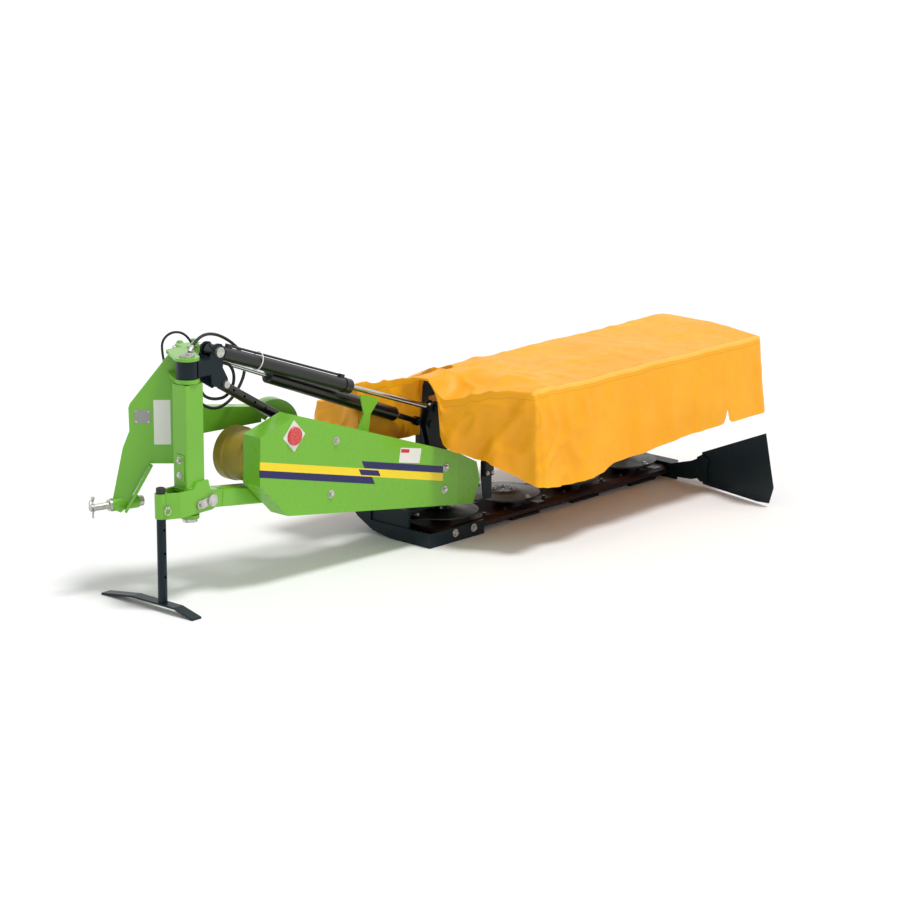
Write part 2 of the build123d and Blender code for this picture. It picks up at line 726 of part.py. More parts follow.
def make_float():
    frame, length = in_line((float_pin_x, float_pin_z), (link_pin_x, link_pin_z), float_y)
    rod = along_z(0, 0, float_rod_r, 14, float_rod_end) + along_z(0, 0, float_bore_r - 0.2, float_rod_end - 24,
                                                                 float_rod_end)
    eye = along_x(0, 0, 18, -10, 10) - along_x(0, 0, 10 + running_gap, -11, 11)
    hole = float_rod_r + running_gap
    start = float_can_start
    stop = float_can_end
    profile = [(hole, start), (float_r, start), (float_r, stop), (22, stop + 4), (12, stop + 30), (12, length - 16),
               (0, length - 16), (0, stop - 20), (float_bore_r, stop - 20), (float_bore_r, start + 18),
               (hole, start + 18)]
    can = revolve(make_face(Polyline(*[(r, 0, z) for r, z in profile], close=True)), Axis.Z)
    can += along_x(0, length, 20, -10, 10) + along_x(0, length, 12, 10, 18)
    return place(frame, rod + eye), place(frame, can)


def make_stay():
    frame, length = in_line((stay_pin_x, stay_pin_z), (stay_lug_x, stay_lug_z), 0)
    tube = along_z(0, 0, stay_r, 18, stay_tube_end) - along_z(0, 0, stay_bore_r, 40, stay_tube_end + 1)
    for level in range(80, 560, 68):
        tube -= along_x(0, level, 6, -30, 30)
    eye = along_x(0, 0, 20, -20, 20) - along_x(0, 0, 10 + running_gap, -21, 21)
    rod = along_z(0, 0, stay_bore_r - running_gap, stay_rod_start, length - 14)
    rod += along_x(0, length, 20, -18, 18)
    return place(frame, tube + eye), place(frame, rod)


# Cutter bar with its shoes, discs, hinge frame, gearbox and lever

def make_hinge_frame():
    tube = along_y(fold_x, fold_z, 40, -fork_inner, fork_inner)
    web = box(fold_x - 36, fold_x + 46, -34, 34, frame_top_z, fold_z - 20)
    wall = plate_yz([(-36, 10), (shoe_flat_y, 10), (164, 28), (190, 42), (190, frame_top_z), (-36, frame_top_z)],
                    shoe_left_x, shoe_left_x + plate)
    roof = box(shoe_left_x, shoe_right_x, -36, 190, frame_top_z - plate, frame_top_z)
    frame = tube + web + wall + roof
    frame -= along_y(fold_x, fold_z, fold_shaft_r + running_gap, -50, 50)
    frame -= along_z(disc_first_x, disc_y, 34, frame_top_z - plate - 1, frame_top_z + 16)
    return frame


def make_lever():
    lever = None
    circles = [(fold_x, fold_z, 39), (lever_pin_x, lever_pin_z, 32), (link_pin_x, link_pin_z, 24)]
    for y0 in (lift_y - 24, lift_y + 14):
        leaf = rounded_xz(circles, y0, y0 + 10) - along_y(fold_x, fold_z, 40, y0 - 1, y0 + 11)
        lever = leaf if lever is None else lever + leaf
    spacer = box(fold_x - 46, fold_x - 6, lift_y - 14, lift_y + 14, fold_z + 46, fold_z + 120)
    lever += spacer
    lever += along_y(lever_pin_x, lever_pin_z, 16, lift_y - 34, lift_y - 24)
    lever += along_y(lever_pin_x, lever_pin_z, 16, lift_y + 24, lift_y + 32)
    lever += along_y(link_pin_x, link_pin_z, 15, lift_y - 32, lift_y - 24)
    lever += along_y(link_pin_x, link_pin_z, 12, lift_y + 24, float_y - 12)
    return lever


def make_gearbox():
    base = along_z(disc_first_x, disc_y, gearbox_r, frame_top_z, 186)
    base -= along_z(disc_first_x, disc_y, 34, 100, frame_top_z + 16)
    base -= box(fold_x - 36, fold_x + 46, -34, 34, frame_top_z - 1, 200)
    case = box(fold_x - 48, fold_x + 62, 58, 160, frame_top_z, 292)
    case = fillet(case.edges().filter_by(Axis.Y), 26)
    nose = along_y(fold_x, fold_z, 40, 54.5, 60)
    return base + case + nose


def make_cutter_bar():
    section = [(-bar_half, 26), (-bar_half + 26, bar_bottom_z), (bar_half - 30, bar_bottom_z), (bar_half, 30),
               (bar_half, 44), (bar_half - 24, bar_top_z), (-bar_half + 22, bar_top_z), (-bar_half, 42)]
    bar = plate_yz(section, bar_start_x, bar_end_x)
    for number in range(disc_count):
        bar += along_z(disc_first_x + number * disc_pitch, disc_y, hub_r, bar_top_z, hub_top_z)
    return bar - make_inner_shoe()


def make_skids():
    skid = None
    for number in range(1, disc_count):
        x = disc_first_x + number * disc_pitch
        section = [(-bar_half + 20, 0), (bar_half - 20, 0), (bar_half + 30, 26), (bar_half + 24, 34),
                   (bar_half - 28, bar_bottom_z), (-bar_half + 20, bar_bottom_z)]
        one = plate_yz(section, x - 90, x + 90)
        skid = one if skid is None else skid + one
    return skid


def make_disc(number):
    x = disc_first_x + number * disc_pitch
    low = hub_top_z + seat_gap
    profile = [(0, low), (hub_r - 3, low), (hub_r + 6, low + 10), (disc_r, low + 10), (disc_r, low + 16),
               (90, disc_top_z - 6), (60, disc_top_z), (0, disc_top_z)]
    disc = revolve(make_face(Polyline(*[(r, 0, z) for r, z in profile], close=True)), Axis.Z)
    for turn in (0, 180):
        blade = box(disc_r - 40, blade_tip_r, -blade_wide / 2, blade_wide / 2, low + 10 - blade_thick, low + 10)
        disc += Rot(0, 0, turn + 90 * (number % 2)) * blade
    if number == 0:
        disc += along_z(0, 0, 28, disc_top_z, frame_top_z + 9.7)
    return Pos(x, disc_y, 0) * disc


def make_inner_shoe():
    t = 10.0
    runner = [(shoe_rear_y, 0), (shoe_flat_y, 0), (170, 18), (262, 66), (shoe_toe_y, shoe_toe_z)]
    upper = [(shoe_toe_y - 10, shoe_toe_z + 6), (252, 74), (164, 28), (shoe_flat_y, t), (shoe_rear_y, t)]
    skid = plate_yz(runner + upper, shoe_left_x, shoe_right_x)
    side = plate_yz(runner + [(shoe_toe_y - 14, shoe_toe_z + 10), (182, 128), (182, 62), (-37, 62), (shoe_rear_y, 62)],
                    shoe_left_x - 8, shoe_left_x)
    rear = box(shoe_left_x, shoe_right_x, shoe_rear_y, shoe_rear_y + 8, t, 62)
    return skid + side + rear


def make_outer_shoe():
    body = plate_xy([(outer_left_x, -200), (outer_right_x, -150), (outer_right_x, 190), (outer_left_x + 20, 330),
                     (outer_left_x, 250)], 0, 70)
    nose_cut = plate_yz([(120, -1), (340, -1), (340, 66)], outer_left_x - 1, outer_right_x + 1)
    return body - nose_cut


board_root = (2988.0, -330.0)
board_tail = (2896.0, -806.0)


def board_place():
    angle = math.degrees(math.atan2(board_tail[1] - board_root[1], board_tail[0] - board_root[0]))
    return Pos(board_root[0], board_root[1], 0) * Rot(0, 0, angle)


def make_board_bracket():
    fan = plate_xz([(-8, 128), (30, 148), (74, 130), (60, 70), (72, 24), (16, 18), (-8, 30)], -8, -2)
    arm = plate_yz([(-332, 30), (-332, 126), (-286, 104), (-150, 66), (-150, 12), (-286, 18)],
                   outer_left_x - 8, outer_left_x)
    return board_place() * fan + arm


def make_swath_board():
    length = math.hypot(board_tail[0] - board_root[0], board_tail[1] - board_root[1])
    line = [(20, 155), (length * 0.93, 330), (length + 24, 92), (length - 4, 16), (length * 0.83, 8), (30, 8),
            (20, 40)]
    return board_place() * plate_xz(line, -2, 2)


def cover_line(inset):
    """The cover's corners across the bar, from rear hem to front hem, moved inwards by a distance."""
    outline = Polygon((cover_rear_y - 26, cover_hem_rear_z), (cover_rear_y, cover_rear_z), (-290, cover_ridge_z + 4),
                      (0, cover_ridge_z), (cover_front_y, cover_front_z), (cover_front_y + 12, cover_hem_front_z),
                      align=None)
    if not inset:
        return [(v.X, v.Y) for v in outline.vertices()]
    moved = offset(outline, amount=-inset, kind=Kind.INTERSECTION)
    return [(v.X, v.Y) for v in moved.vertices()]


def cover_corner(inset, near):
    """The moved corner that belongs to a corner of the outline."""
    return min(cover_line(inset), key=lambda c: math.hypot(c[0] - near[0], c[1] - near[1]))


rear_corner = (cover_rear_y, cover_rear_z)
rear_ridge = (-290.0, cover_ridge_z + 4)
front_ridge = (0.0, cover_ridge_z)
front_corner = (cover_front_y, cover_front_z)
flap_top = (cover_flap_y, 640.0)
flap_ridge = (cover_flap_y + 22.0, 656.0)


def cover_inside():
    """The cover's inner corners across the bar, its curtains run on below their hems."""
    t = cover_thick
    corners = [cover_corner(t, c) for c in (rear_corner, rear_ridge, front_ridge, front_corner)]
    return [(cover_rear_y - 32 + t, cover_low_z)] + corners + [(cover_front_y + 15 - t, cover_low_z)]


def flap_inside():
    t = cover_thick
    return [(cover_flap_y + t, cover_low_z), (cover_flap_y + t, flap_top[1] - 2), (flap_ridge[0] + 1, flap_ridge[1] - 5),
            cover_corner(t, front_corner), (cover_front_y + 15 - t, cover_low_z)]


def cover_plan(inset):
    """The cover from above: its left end slants from the rear corner to the slot for the lift rod."""
    slant = (cover_left_x - wing_x) / (wing_y - cover_rear_y)
    tip_y = lift_y - notch_half
    plan = Polygon((cover_left_x + slant * 140, cover_rear_y - 140), (cover_right_x, cover_rear_y - 140),
                   (cover_right_x, cover_front_y + 60), (cover_left_x, cover_front_y + 60), (cover_left_x, tip_y),
                   (wing_tip_x, tip_y), (wing_x, wing_y), align=None)
    return offset(plan, amount=-inset, kind=Kind.INTERSECTION) if inset else plan


def make_cover():
    t = cover_thick
    right = cover_right_x
    left = wing_tip_x - 10
    corners = [rear_corner, rear_ridge, front_ridge, front_corner]
    outside = [(cover_rear_y - 26, cover_hem_rear_z)] + corners + [(cover_front_y + 12, cover_hem_front_z)]
    body = plate_yz(outside, left, right) & extrude(cover_plan(0), amount=900)
    body -= plate_yz(cover_inside(), left, right) & extrude(cover_plan(t), amount=900)
    body -= box(cover_left_x - 1, cover_left_x + t + 1, wing_y, cover_flap_y + t, cover_low_z, 690)
    body -= box(left, cover_left_x + t + 1, wing_y - 6, lift_y - notch_half + 1, cover_low_z, 716)
    body -= box(left, cover_left_x + t + 1, cover_rear_y - 40, wing_y, cover_low_z, wing_hem_z)
    body -= box(cover_left_x - 1, notch_x, -notch_half + lift_y, notch_half + lift_y, 600, 800)
    flap_line = [(cover_flap_y, 420), flap_top, flap_ridge, front_corner, (cover_front_y + 12, cover_hem_front_z)]
    flap = plate_yz(flap_line, cover_flap_x, cover_left_x)
    return (body + flap) - plate_yz(flap_inside(), cover_flap_x + t, cover_left_x + t + 1)


def roof_bar(inside, x0, x1, y0, y1):
    """A bar under the cover's roof, following its slope between two places across."""
    outline = Polygon(*inside, align=None)
    inner = offset(outline, amount=-cover_bar, kind=Kind.INTERSECTION)
    ring = Plane(origin=(x0, 0, 0), x_dir=(0, 1, 0), z_dir=(1, 0, 0)) * (outline - inner)
    return extrude(ring, amount=x1 - x0, dir=(1, 0, 0)) & box(x0 - 1, x1 + 1, y0, y1, 500, 900)


def make_cover_frame():
    size = cover_bar
    inside = cover_inside()
    rear_y = inside[1][0] + 8
    front_y = inside[4][0] - 8
    x0 = cover_left_x + cover_thick
    x1 = cover_right_x - cover_thick
    hoop_x = notch_x + 4
    post_right = cover_right_x - cover_post_in
    frame = None
    for left, right, y0, y1 in (
            (x0, x1, rear_y, rear_y + size), (hoop_x, x1, -size / 2, size / 2), (x0, x1, front_y - size, front_y),
            (hoop_x, hoop_x + size, rear_y, front_y), ((x0 + x1) / 2, (x0 + x1) / 2 + size, rear_y, front_y),
            (post_right, post_right + size, rear_y, front_y)):
        bar = roof_bar(inside, left, right, y0, y1)
        frame = bar if frame is None else frame + bar
    frame += roof_bar(inside, wing_tip_x + 36, hoop_x, -104, -78)
    flap_x = cover_flap_x + cover_thick
    flap_rear = cover_flap_y + cover_thick + 8
    frame += roof_bar(flap_inside(), flap_x, x0 + size, front_y - size, front_y)
    frame += roof_bar(flap_inside(), flap_x, flap_x + size, flap_rear, front_y)
    frame += roof_bar(flap_inside(), flap_x, hoop_x, flap_rear, flap_rear + size + 8)
    frame += box(hoop_x, hoop_x + size, flap_rear, flap_rear + size + 8, 610, 655)
    frame += box(hoop_x, hoop_x + size, 162, 188, frame_top_z, 625)
    frame += box(post_right, post_right + size, 152, 178, 70, 636)
    return frame


def make_block_fittings():
    """Two hose ends on a block at the mast's right face and one on the head bracket's front cheek."""
    right = mast_x + mast_wide / 2
    low_block = box(right, 232, 20, 46, 872, 898) + box(230, 244, 17, 35, 886, 898)
    low_block += fitting(over_route, True, 14) + fitting(inner_route, False, 12)
    front = cheek_front_y + cheek_thick
    side_block = box(286, 320, front, front + 9, 940, 960) + fitting(inner_route, True, 18)
    return low_block - make_mast(), side_block


def make_left_fittings():
    """A clip on the left plate's front face and a foot on the upper ear, for the short hose loop."""
    clip = Pos(186.5, 160, 942) * Rot(0, 0, head_turn + left_plate_angle) * Box(24, 22, 16)
    foot = Pos(280, 105, upper_ear_z + upper_ear_thick + 4) * Box(30, 26, 8)
    return clip + fitting(left_route, False, 24), foot + fitting(left_route, True, 5)


# Build every piece, move the whole to the origin and write one file for each


def together(*shapes):
    """Pieces that stay apart but belong to one node."""
    solids = []
    for shape in shapes:
        solids += shape.solids()
    return Compound(children=solids)


lift_barrel, lift_rod = make_lift()
float_rod, float_can = make_float()
stay_tube, stay_rod = make_stay()
swing_top, swing_low = make_swing_pins()
reflector_back, reflector_lens = make_reflector()
end_plate, end_cover = make_end_plate()

left_clip, left_foot = make_left_fittings()

pieces = {
    "headstock_frame": make_headstock_frame(),
    "gooseneck": make_gooseneck(),
    "top_link_clevis": make_clevis(),
    "hitch_pins": together(make_hitch_pin(-1), make_hitch_pin(1), make_top_link_pin()),
    "hose_left": hose(left_route, left_hose_r),
    "left_fittings": together(left_clip - make_headstock_frame(), left_foot),
    "mast": make_mast(),
    "foot_bracket": make_foot_bracket(),
    "head_bracket": make_head_bracket(),
    "frame_pins": together(make_hinge_pin(), swing_top, swing_low, make_head_pin(), make_stay_pin(),
                           make_stand_clip(), *make_block_fittings()),
    "hose_over": hose(over_route),
    "hose_inner": hose(inner_route),
    "stand_leg": make_stand_leg() + make_stand_foot(),
    "stand_cap": make_stand_cap(),
    "arm_beam": make_arm_beam(),
    "arm_pins": together(*make_stay_lug_pin(), make_fold_shaft()),
    "belt_guard": make_guard(),
    "guard_back": make_guard_back(),
    "pto_bell": make_bell(),
    "input_housing": make_input_housing(),
    "input_shaft": make_input_shaft(),
    "reflector_plate": reflector_back,
    "reflector": reflector_lens,
    "guard_strap": make_strap(),
    "end_plate": end_plate,
    "end_cover": end_cover,
    "lift_barrel": lift_barrel,
    "lift_rod": lift_rod,
    "float_rod": float_rod,
    "float_can": float_can,
    "stay_tube": stay_tube,
    "stay_rod": stay_rod,
    "hinge_frame": make_hinge_frame(),
    "lever": make_lever(),
    "gearbox": make_gearbox(),
    "cutter_bar": make_cutter_bar(),
    "skids": make_skids(),
    "inner_shoe": make_inner_shoe(),
    "outer_shoe": make_outer_shoe() + make_board_bracket(),
    "swath_board": make_swath_board(),
    "cover_frame": make_cover_frame(),
    "canvas_cover": make_cover(),
}
for disc_number in range(disc_count):
    pieces[f"disc_{disc_number + 1}"] = make_disc(disc_number)

boxes = [shape.bounding_box() for shape in pieces.values()]
origin_x = (min(b.min.X for b in boxes) + max(b.max.X for b in boxes)) / 2
origin_y = (min(b.min.Y for b in boxes) + max(b.max.Y for b in boxes)) / 2
print("origin", round(origin_x, 4), round(origin_y, 4), "lowest", round(min(b.min.Z for b in boxes), 3))
print("size", round(max(b.max.X for b in boxes) - min(b.min.X for b in boxes), 1),
      round(max(b.max.Y for b in boxes) - min(b.min.Y for b in boxes), 1), round(max(b.max.Z for b in boxes), 1))

for name, shape in pieces.items():
    moved = Pos(-origin_x, -origin_y, 0) * shape
    solids = moved.solids()
    result = solids[0] if len(solids) == 1 else Compound(children=list(solids))
    export_step(result, f"parts/{name}.step")
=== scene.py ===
# %% [markdown]
# # A disc mower on its parking stand
# The machine is green sheet steel and black cylinders at the left, and a cutter bar under an orange canvas
# at the right. The rigid parts come in as a fixed frame. This file gives them their finishes, and adds what
# is too soft or too small for the frame: the canvas, the hoses, screws, labels and ties.

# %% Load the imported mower
import json
import math

import bmesh
import bpy
from mathutils import Matrix, Vector, noise


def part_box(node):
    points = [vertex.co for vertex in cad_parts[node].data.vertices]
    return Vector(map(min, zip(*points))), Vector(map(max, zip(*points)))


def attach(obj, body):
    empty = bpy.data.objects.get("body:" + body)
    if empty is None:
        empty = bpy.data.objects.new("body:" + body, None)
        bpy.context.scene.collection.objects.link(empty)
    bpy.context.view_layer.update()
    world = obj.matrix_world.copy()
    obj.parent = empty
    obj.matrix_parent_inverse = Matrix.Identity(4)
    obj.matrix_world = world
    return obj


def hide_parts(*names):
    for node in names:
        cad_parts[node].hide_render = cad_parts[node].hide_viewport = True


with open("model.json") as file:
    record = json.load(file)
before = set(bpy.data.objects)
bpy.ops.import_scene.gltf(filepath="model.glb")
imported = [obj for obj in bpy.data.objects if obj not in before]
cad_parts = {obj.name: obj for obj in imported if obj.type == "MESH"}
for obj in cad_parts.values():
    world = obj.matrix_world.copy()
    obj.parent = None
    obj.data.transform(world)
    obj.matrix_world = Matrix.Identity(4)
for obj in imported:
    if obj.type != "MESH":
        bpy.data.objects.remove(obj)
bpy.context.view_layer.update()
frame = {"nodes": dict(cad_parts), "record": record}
nodes = frame["nodes"]

# %% [markdown]
# Every place in this file is measured from the foot of the parking stand, in millimetres: x out along the
# cutter bar, y towards the tractor, z up. The stand's black cap gives that point in the frame, so nothing
# drifts if the origin moves.

# %% Places measured from the stand
cap_low, cap_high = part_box("stand_cap")
stand_x = (cap_low[0] + cap_high[0]) / 2
stand_y = (cap_low[1] + cap_high[1]) / 2


def at(x, y, z):
    """A point given in millimetres from the stand's foot, in the frame's metres."""
    return Vector((stand_x + x / 1000, stand_y + y / 1000, z / 1000))


print("stand foot", round(stand_x, 4), round(stand_y, 4))

# %% [markdown]
# ## Camera
# A long lens from far away keeps the perspective as flat as in a catalogue picture. The camera stands
# behind the machine at the mast's side, a little above it.

# %% Camera
camera_place = (-9027.5, -9988.0, 4079.9)
camera_down = 14.3
camera_round = 47.0
camera_data = bpy.data.cameras.new("catalogue_camera")
camera_data.lens = 140
camera_data.sensor_width = 36
camera_data.clip_end = 400
camera = bpy.data.objects.new("catalogue_camera", camera_data)
bpy.context.scene.collection.objects.link(camera)
camera.location = at(*camera_place)
camera.rotation_euler = (math.radians(90 - camera_down), 0, math.radians(-camera_round))
bpy.context.scene.camera = camera
print("camera", [round(c, 2) for c in camera.location])

# %% [markdown]
# ## Light
# Studio light is a plain even glow and one soft lamp from the upper right, which makes the guard's face
# bright and its left ends darker. The backdrop is white only for what looks straight at it, or sees it in
# metal.

# %% World and lamp
glow_strength = 0.58
backdrop_strength = 1.0
lamp_strength = 1.95
lamp_towards = (0.14, -0.36, 0.92)
world = bpy.data.worlds.new("studio")
bpy.context.scene.world = world
world.use_nodes = True
world_tree = world.node_tree
world_tree.nodes.clear()


def white_light(strength):
    """An even white light from all round."""
    light = world_tree.nodes.new("ShaderNodeBackground")
    light.inputs["Color"].default_value = (1, 1, 1, 1)
    light.inputs["Strength"].default_value = strength
    return light.outputs[0]


path = world_tree.nodes.new("ShaderNodeLightPath")
sees_backdrop = path.outputs["Is Camera Ray"]
for kind in ("Is Glossy Ray", "Is Transmission Ray"):
    either = world_tree.nodes.new("ShaderNodeMath")
    either.operation = "MAXIMUM"
    world_tree.links.new(sees_backdrop, either.inputs[0])
    world_tree.links.new(path.outputs[kind], either.inputs[1])
    sees_backdrop = either.outputs[0]
chosen_light = world_tree.nodes.new("ShaderNodeMixShader")
sky = world_tree.nodes.new("ShaderNodeOutputWorld")
world_tree.links.new(sees_backdrop, chosen_light.inputs[0])
world_tree.links.new(white_light(glow_strength), chosen_light.inputs[1])
world_tree.links.new(white_light(backdrop_strength), chosen_light.inputs[2])
world_tree.links.new(chosen_light.outputs[0], sky.inputs["Surface"])

lamp_data = bpy.data.lights.new("soft_lamp", "SUN")
lamp_data.energy = lamp_strength
lamp_data.angle = math.radians(14)
lamp = bpy.data.objects.new("soft_lamp", lamp_data)
bpy.context.scene.collection.objects.link(lamp)
lamp.rotation_euler = Vector(lamp_towards).to_track_quat("Z", "Y").to_euler()
bpy.context.scene.view_settings.view_transform = "Standard"

# %% [markdown]
# ## A few helpers
# An operator works on whatever is selected, so each step starts from nothing selected. A finished piece has
# its place in its mesh and its object at the origin, as the rigid parts have, so that patterns stay put.

# %% Helpers for modelling
made_pieces = []


def bare():
    """Nothing is selected."""
    bpy.ops.object.select_all(action="DESELECT")


def only(piece):
    """This piece alone is selected and active."""
    bare()
    piece.select_set(True)
    bpy.context.view_layer.objects.active = piece


def current(name):
    """The primitive that was just added, under its own name."""
    piece = bpy.context.object
    piece.name = name
    piece.data.name = name
    return piece


def pick(piece, mode, wanted):
    """In edit mode, the faces, edges or corners for which wanted() is true are selected."""
    bpy.ops.mesh.select_mode(type=mode)
    bpy.ops.mesh.select_all(action="DESELECT")
    mesh = bmesh.from_edit_mesh(piece.data)
    group = {"FACE": mesh.faces, "EDGE": mesh.edges, "VERT": mesh.verts}[mode]
    for part in group:
        if wanted(part):
            part.select_set(True)
    bmesh.update_edit_mesh(piece.data)


def smooth(piece, angle):
    """Smooth shading, with edges sharper than the angle in degrees kept crisp."""
    only(piece)
    bpy.ops.object.shade_smooth_by_angle(angle=math.radians(angle))


def settle(piece, body, finish):
    """The piece's place goes into its mesh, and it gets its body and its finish."""
    only(piece)
    bpy.ops.object.transform_apply(location=True, rotation=True, scale=True)
    piece.data.materials.clear()
    piece.data.materials.append(finish)
    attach(piece, body)
    made_pieces.append(piece)
    return piece


def copy_to(model, name, matrix, body, finish):
    """A copy of a piece modelled at the origin, with its own mesh, moved into place."""
    mesh = model.data.copy()
    mesh.transform(matrix)
    piece = bpy.data.objects.new(name, mesh)
    bpy.context.scene.collection.objects.link(piece)
    return settle(piece, body, finish)


def facing(place, direction, turn=0.0, size=1.0):
    """The matrix that stands a piece on a place, its +Z along a direction."""
    stand = Vector(direction).to_track_quat("Z", "X").to_matrix().to_4x4()
    return Matrix.Translation(place) @ stand @ Matrix.Rotation(turn, 4, "Z") @ Matrix.Scale(size, 4)


# %% [markdown]
# ## Finishes
# A finish is a small tree of nodes. One class wraps a socket so that masks are written as sums, and one
# method adds any other node. Only colour, roughness, metal, coat and bump vary over a surface, and the rest
# are plain values.

# %% Sockets and finishes


class Signal:
    """A node's output that plain arithmetic works on."""

    def __init__(self, finish, link):
        self.finish = finish
        self.link = link

    def reckon(self, operation, *values):
        return self.finish.node("ShaderNodeMath", {"operation": operation}, dict(enumerate(values)))

    def __add__(self, other):
        return self.reckon("ADD", self, other)

    __radd__ = __add__

    def __sub__(self, other):
        return self.reckon("SUBTRACT", self, other)

    def __rsub__(self, other):
        return self.reckon("SUBTRACT", other, self)

    def __mul__(self, other):
        return self.reckon("MULTIPLY", self, other)

    __rmul__ = __mul__

    def __gt__(self, other):
        return self.reckon("GREATER_THAN", self, other)

    def __lt__(self, other):
        return self.reckon("LESS_THAN", self, other)

    def high(self, other):
        return self.reckon("MAXIMUM", self, other)

    def between(self, low, high):
        """0 below low, 1 above high, and a slope from one to the other."""
        made = {"Value": self, "From Min": low, "From Max": high}
        return self.finish.node("ShaderNodeMapRange", {"clamp": True}, made)


class Finish:
    """A paint, metal, rubber or cloth, made of nodes round one surface shader."""

    def __init__(self, name, colour, roughness, metallic=0.0, coat=0.0):
        self.material = bpy.data.materials.new(name)
        self.material.use_nodes = True
        self.tree = self.material.node_tree
        self.shader = self.tree.nodes["Principled BSDF"]
        self.set("Roughness", roughness)
        self.set("Metallic", metallic)
        self.set("Coat Weight", coat)
        self.shader.inputs["Coat Roughness"].default_value = 0.08
        self.colour = colour
        self.place = self.node("ShaderNodeTexCoord", output="Object")
        self.material.diffuse_color = (*colour, 1)

    def node(self, kind, settings=None, inputs=None, output=0):
        made = self.tree.nodes.new(kind)
        for key, value in (settings or {}).items():
            setattr(made, key, value)
        for key, value in (inputs or {}).items():
            self.feed(made.inputs[key], value)
        return Signal(self, made.outputs[output])

    def feed(self, socket, value):
        if isinstance(value, Signal):
            self.tree.links.new(value.link, socket)
        elif isinstance(value, tuple) and len(value) == 3 and socket.type == "RGBA":
            socket.default_value = (*value, 1)
        else:
            socket.default_value = value

    def set(self, name, value):
        self.feed(self.shader.inputs[name], value)

    def noise(self, scale, detail=3.0, rough=0.5, place=None):
        made = {"Vector": place or self.place, "Scale": scale, "Detail": detail, "Roughness": rough}
        return self.node("ShaderNodeTexNoise", None, made, "Fac")

    def stretched(self, x, y, z):
        """Object coordinates, stretched so that a pattern runs one way."""
        return self.node("ShaderNodeVectorMath", {"operation": "MULTIPLY"}, {0: self.place, 1: (x, y, z)})

    def axis(self, letter, place=None):
        return self.node("ShaderNodeSeparateXYZ", None, {0: place or self.place}, letter)

    def mix(self, mask, first, second):
        """The first colour where the mask is 0 and the second where it is 1."""
        blend = self.tree.nodes.new("ShaderNodeMix")
        blend.data_type = "RGBA"
        # A colour mix takes its factor at socket 0 and its colours at sockets 6 and 7.
        for socket, value in ((0, mask), (6, first), (7, second)):
            self.feed(blend.inputs[socket], value)
        return Signal(self, blend.outputs[2])

    def gleam(self, amount):
        """How strongly the bare surface mirrors under its coat."""
        self.shader.inputs["Specular IOR Level"].default_value = amount

    def bump(self, height, distance, strength=1.0):
        made = {"Height": height, "Distance": distance, "Strength": strength}
        self.set("Normal", self.node("ShaderNodeBump", None, made, "Normal"))

    def close(self, colour=None):
        """The surface gets its colour, and the material is done."""
        self.set("Base Color", colour if colour is not None else self.colour)
        return self.material


def srgb(red, green, blue):
    """A colour as a screen gives it, 0 to 255, made linear."""
    def linear(value):
        value /= 255
        return value / 12.92 if value <= 0.04045 else ((value + 0.055) / 1.055) ** 2.4
    return (linear(red), linear(green), linear(blue))


def shade(colour, amount):
    """The colour made darker or lighter."""
    return tuple(min(1.0, part * amount) for part in colour)


# %% [markdown]
# Paint on a farm machine is a thick gloss coat. Close to, it has the slight orange peel of spraying, and a
# light film of dust lies on what is near the floor.

# %% Paints
dust_colour = srgb(126, 120, 106)


def dusted(finish, colour, amount, low_z, high_z):
    """The colour under a film of dust that thins out with height."""
    height = finish.axis("Z")
    patch = finish.noise(5.0, 5.0, 0.62).between(0.42, 0.75)
    film = (1.0 - height.between(low_z, high_z)) * patch * amount
    return finish.mix(film, colour, dust_colour), film


def paint(name, colour, roughness, coat, dust=0.25, peel=0.00003, dark=0.86, gleam=0.5):
    finish = Finish(name, colour, roughness, coat=coat)
    finish.gleam(gleam)
    drift = finish.noise(2.3, 2.0).between(0.3, 0.7)
    ground = finish.mix(drift, shade(colour, dark), shade(colour, 1.04))
    tone, film = dusted(finish, ground, dust, 0.0, 0.45)
    finish.set("Roughness", finish.noise(38.0, 4.0) * 0.10 + film * 0.5 + (roughness - 0.05))
    finish.bump(finish.noise(420.0, 2.0), peel)
    return finish.close(tone)


grass_green = srgb(114, 184, 46)
green = paint("green_gloss", grass_green, 0.30, 0.28, dust=0.06, dark=0.93, gleam=0.4)
slate = paint("slate_satin", srgb(5, 28, 36), 0.42, 0.05, dust=0.03, gleam=0.22)
black = paint("black_satin", srgb(8, 9, 10), 0.30, 0.22, dust=0.03, gleam=0.4)
maroon = paint("maroon_satin", srgb(34, 10, 12), 0.46, 0.04, dust=0.08, gleam=0.3)
print("paints made")

# %% [markdown]
# The belt guard carries two painted bands on its rear face: a yellow one all along, and navy ones beside it
# whose ends are cut at a slant. They are masks on the place, in metres, worked out from the guard's own
# lines.

# %% Guard paint with its bands
guard_low, guard_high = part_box("belt_guard")
yellow = srgb(246, 216, 26)
navy = srgb(14, 14, 86)
band_start = (403.0, 544.0)
band_end = (1479.0, 292.5)
band_slope = (band_end[1] - band_start[1]) / (band_end[0] - band_start[0])
band_slant = 0.55


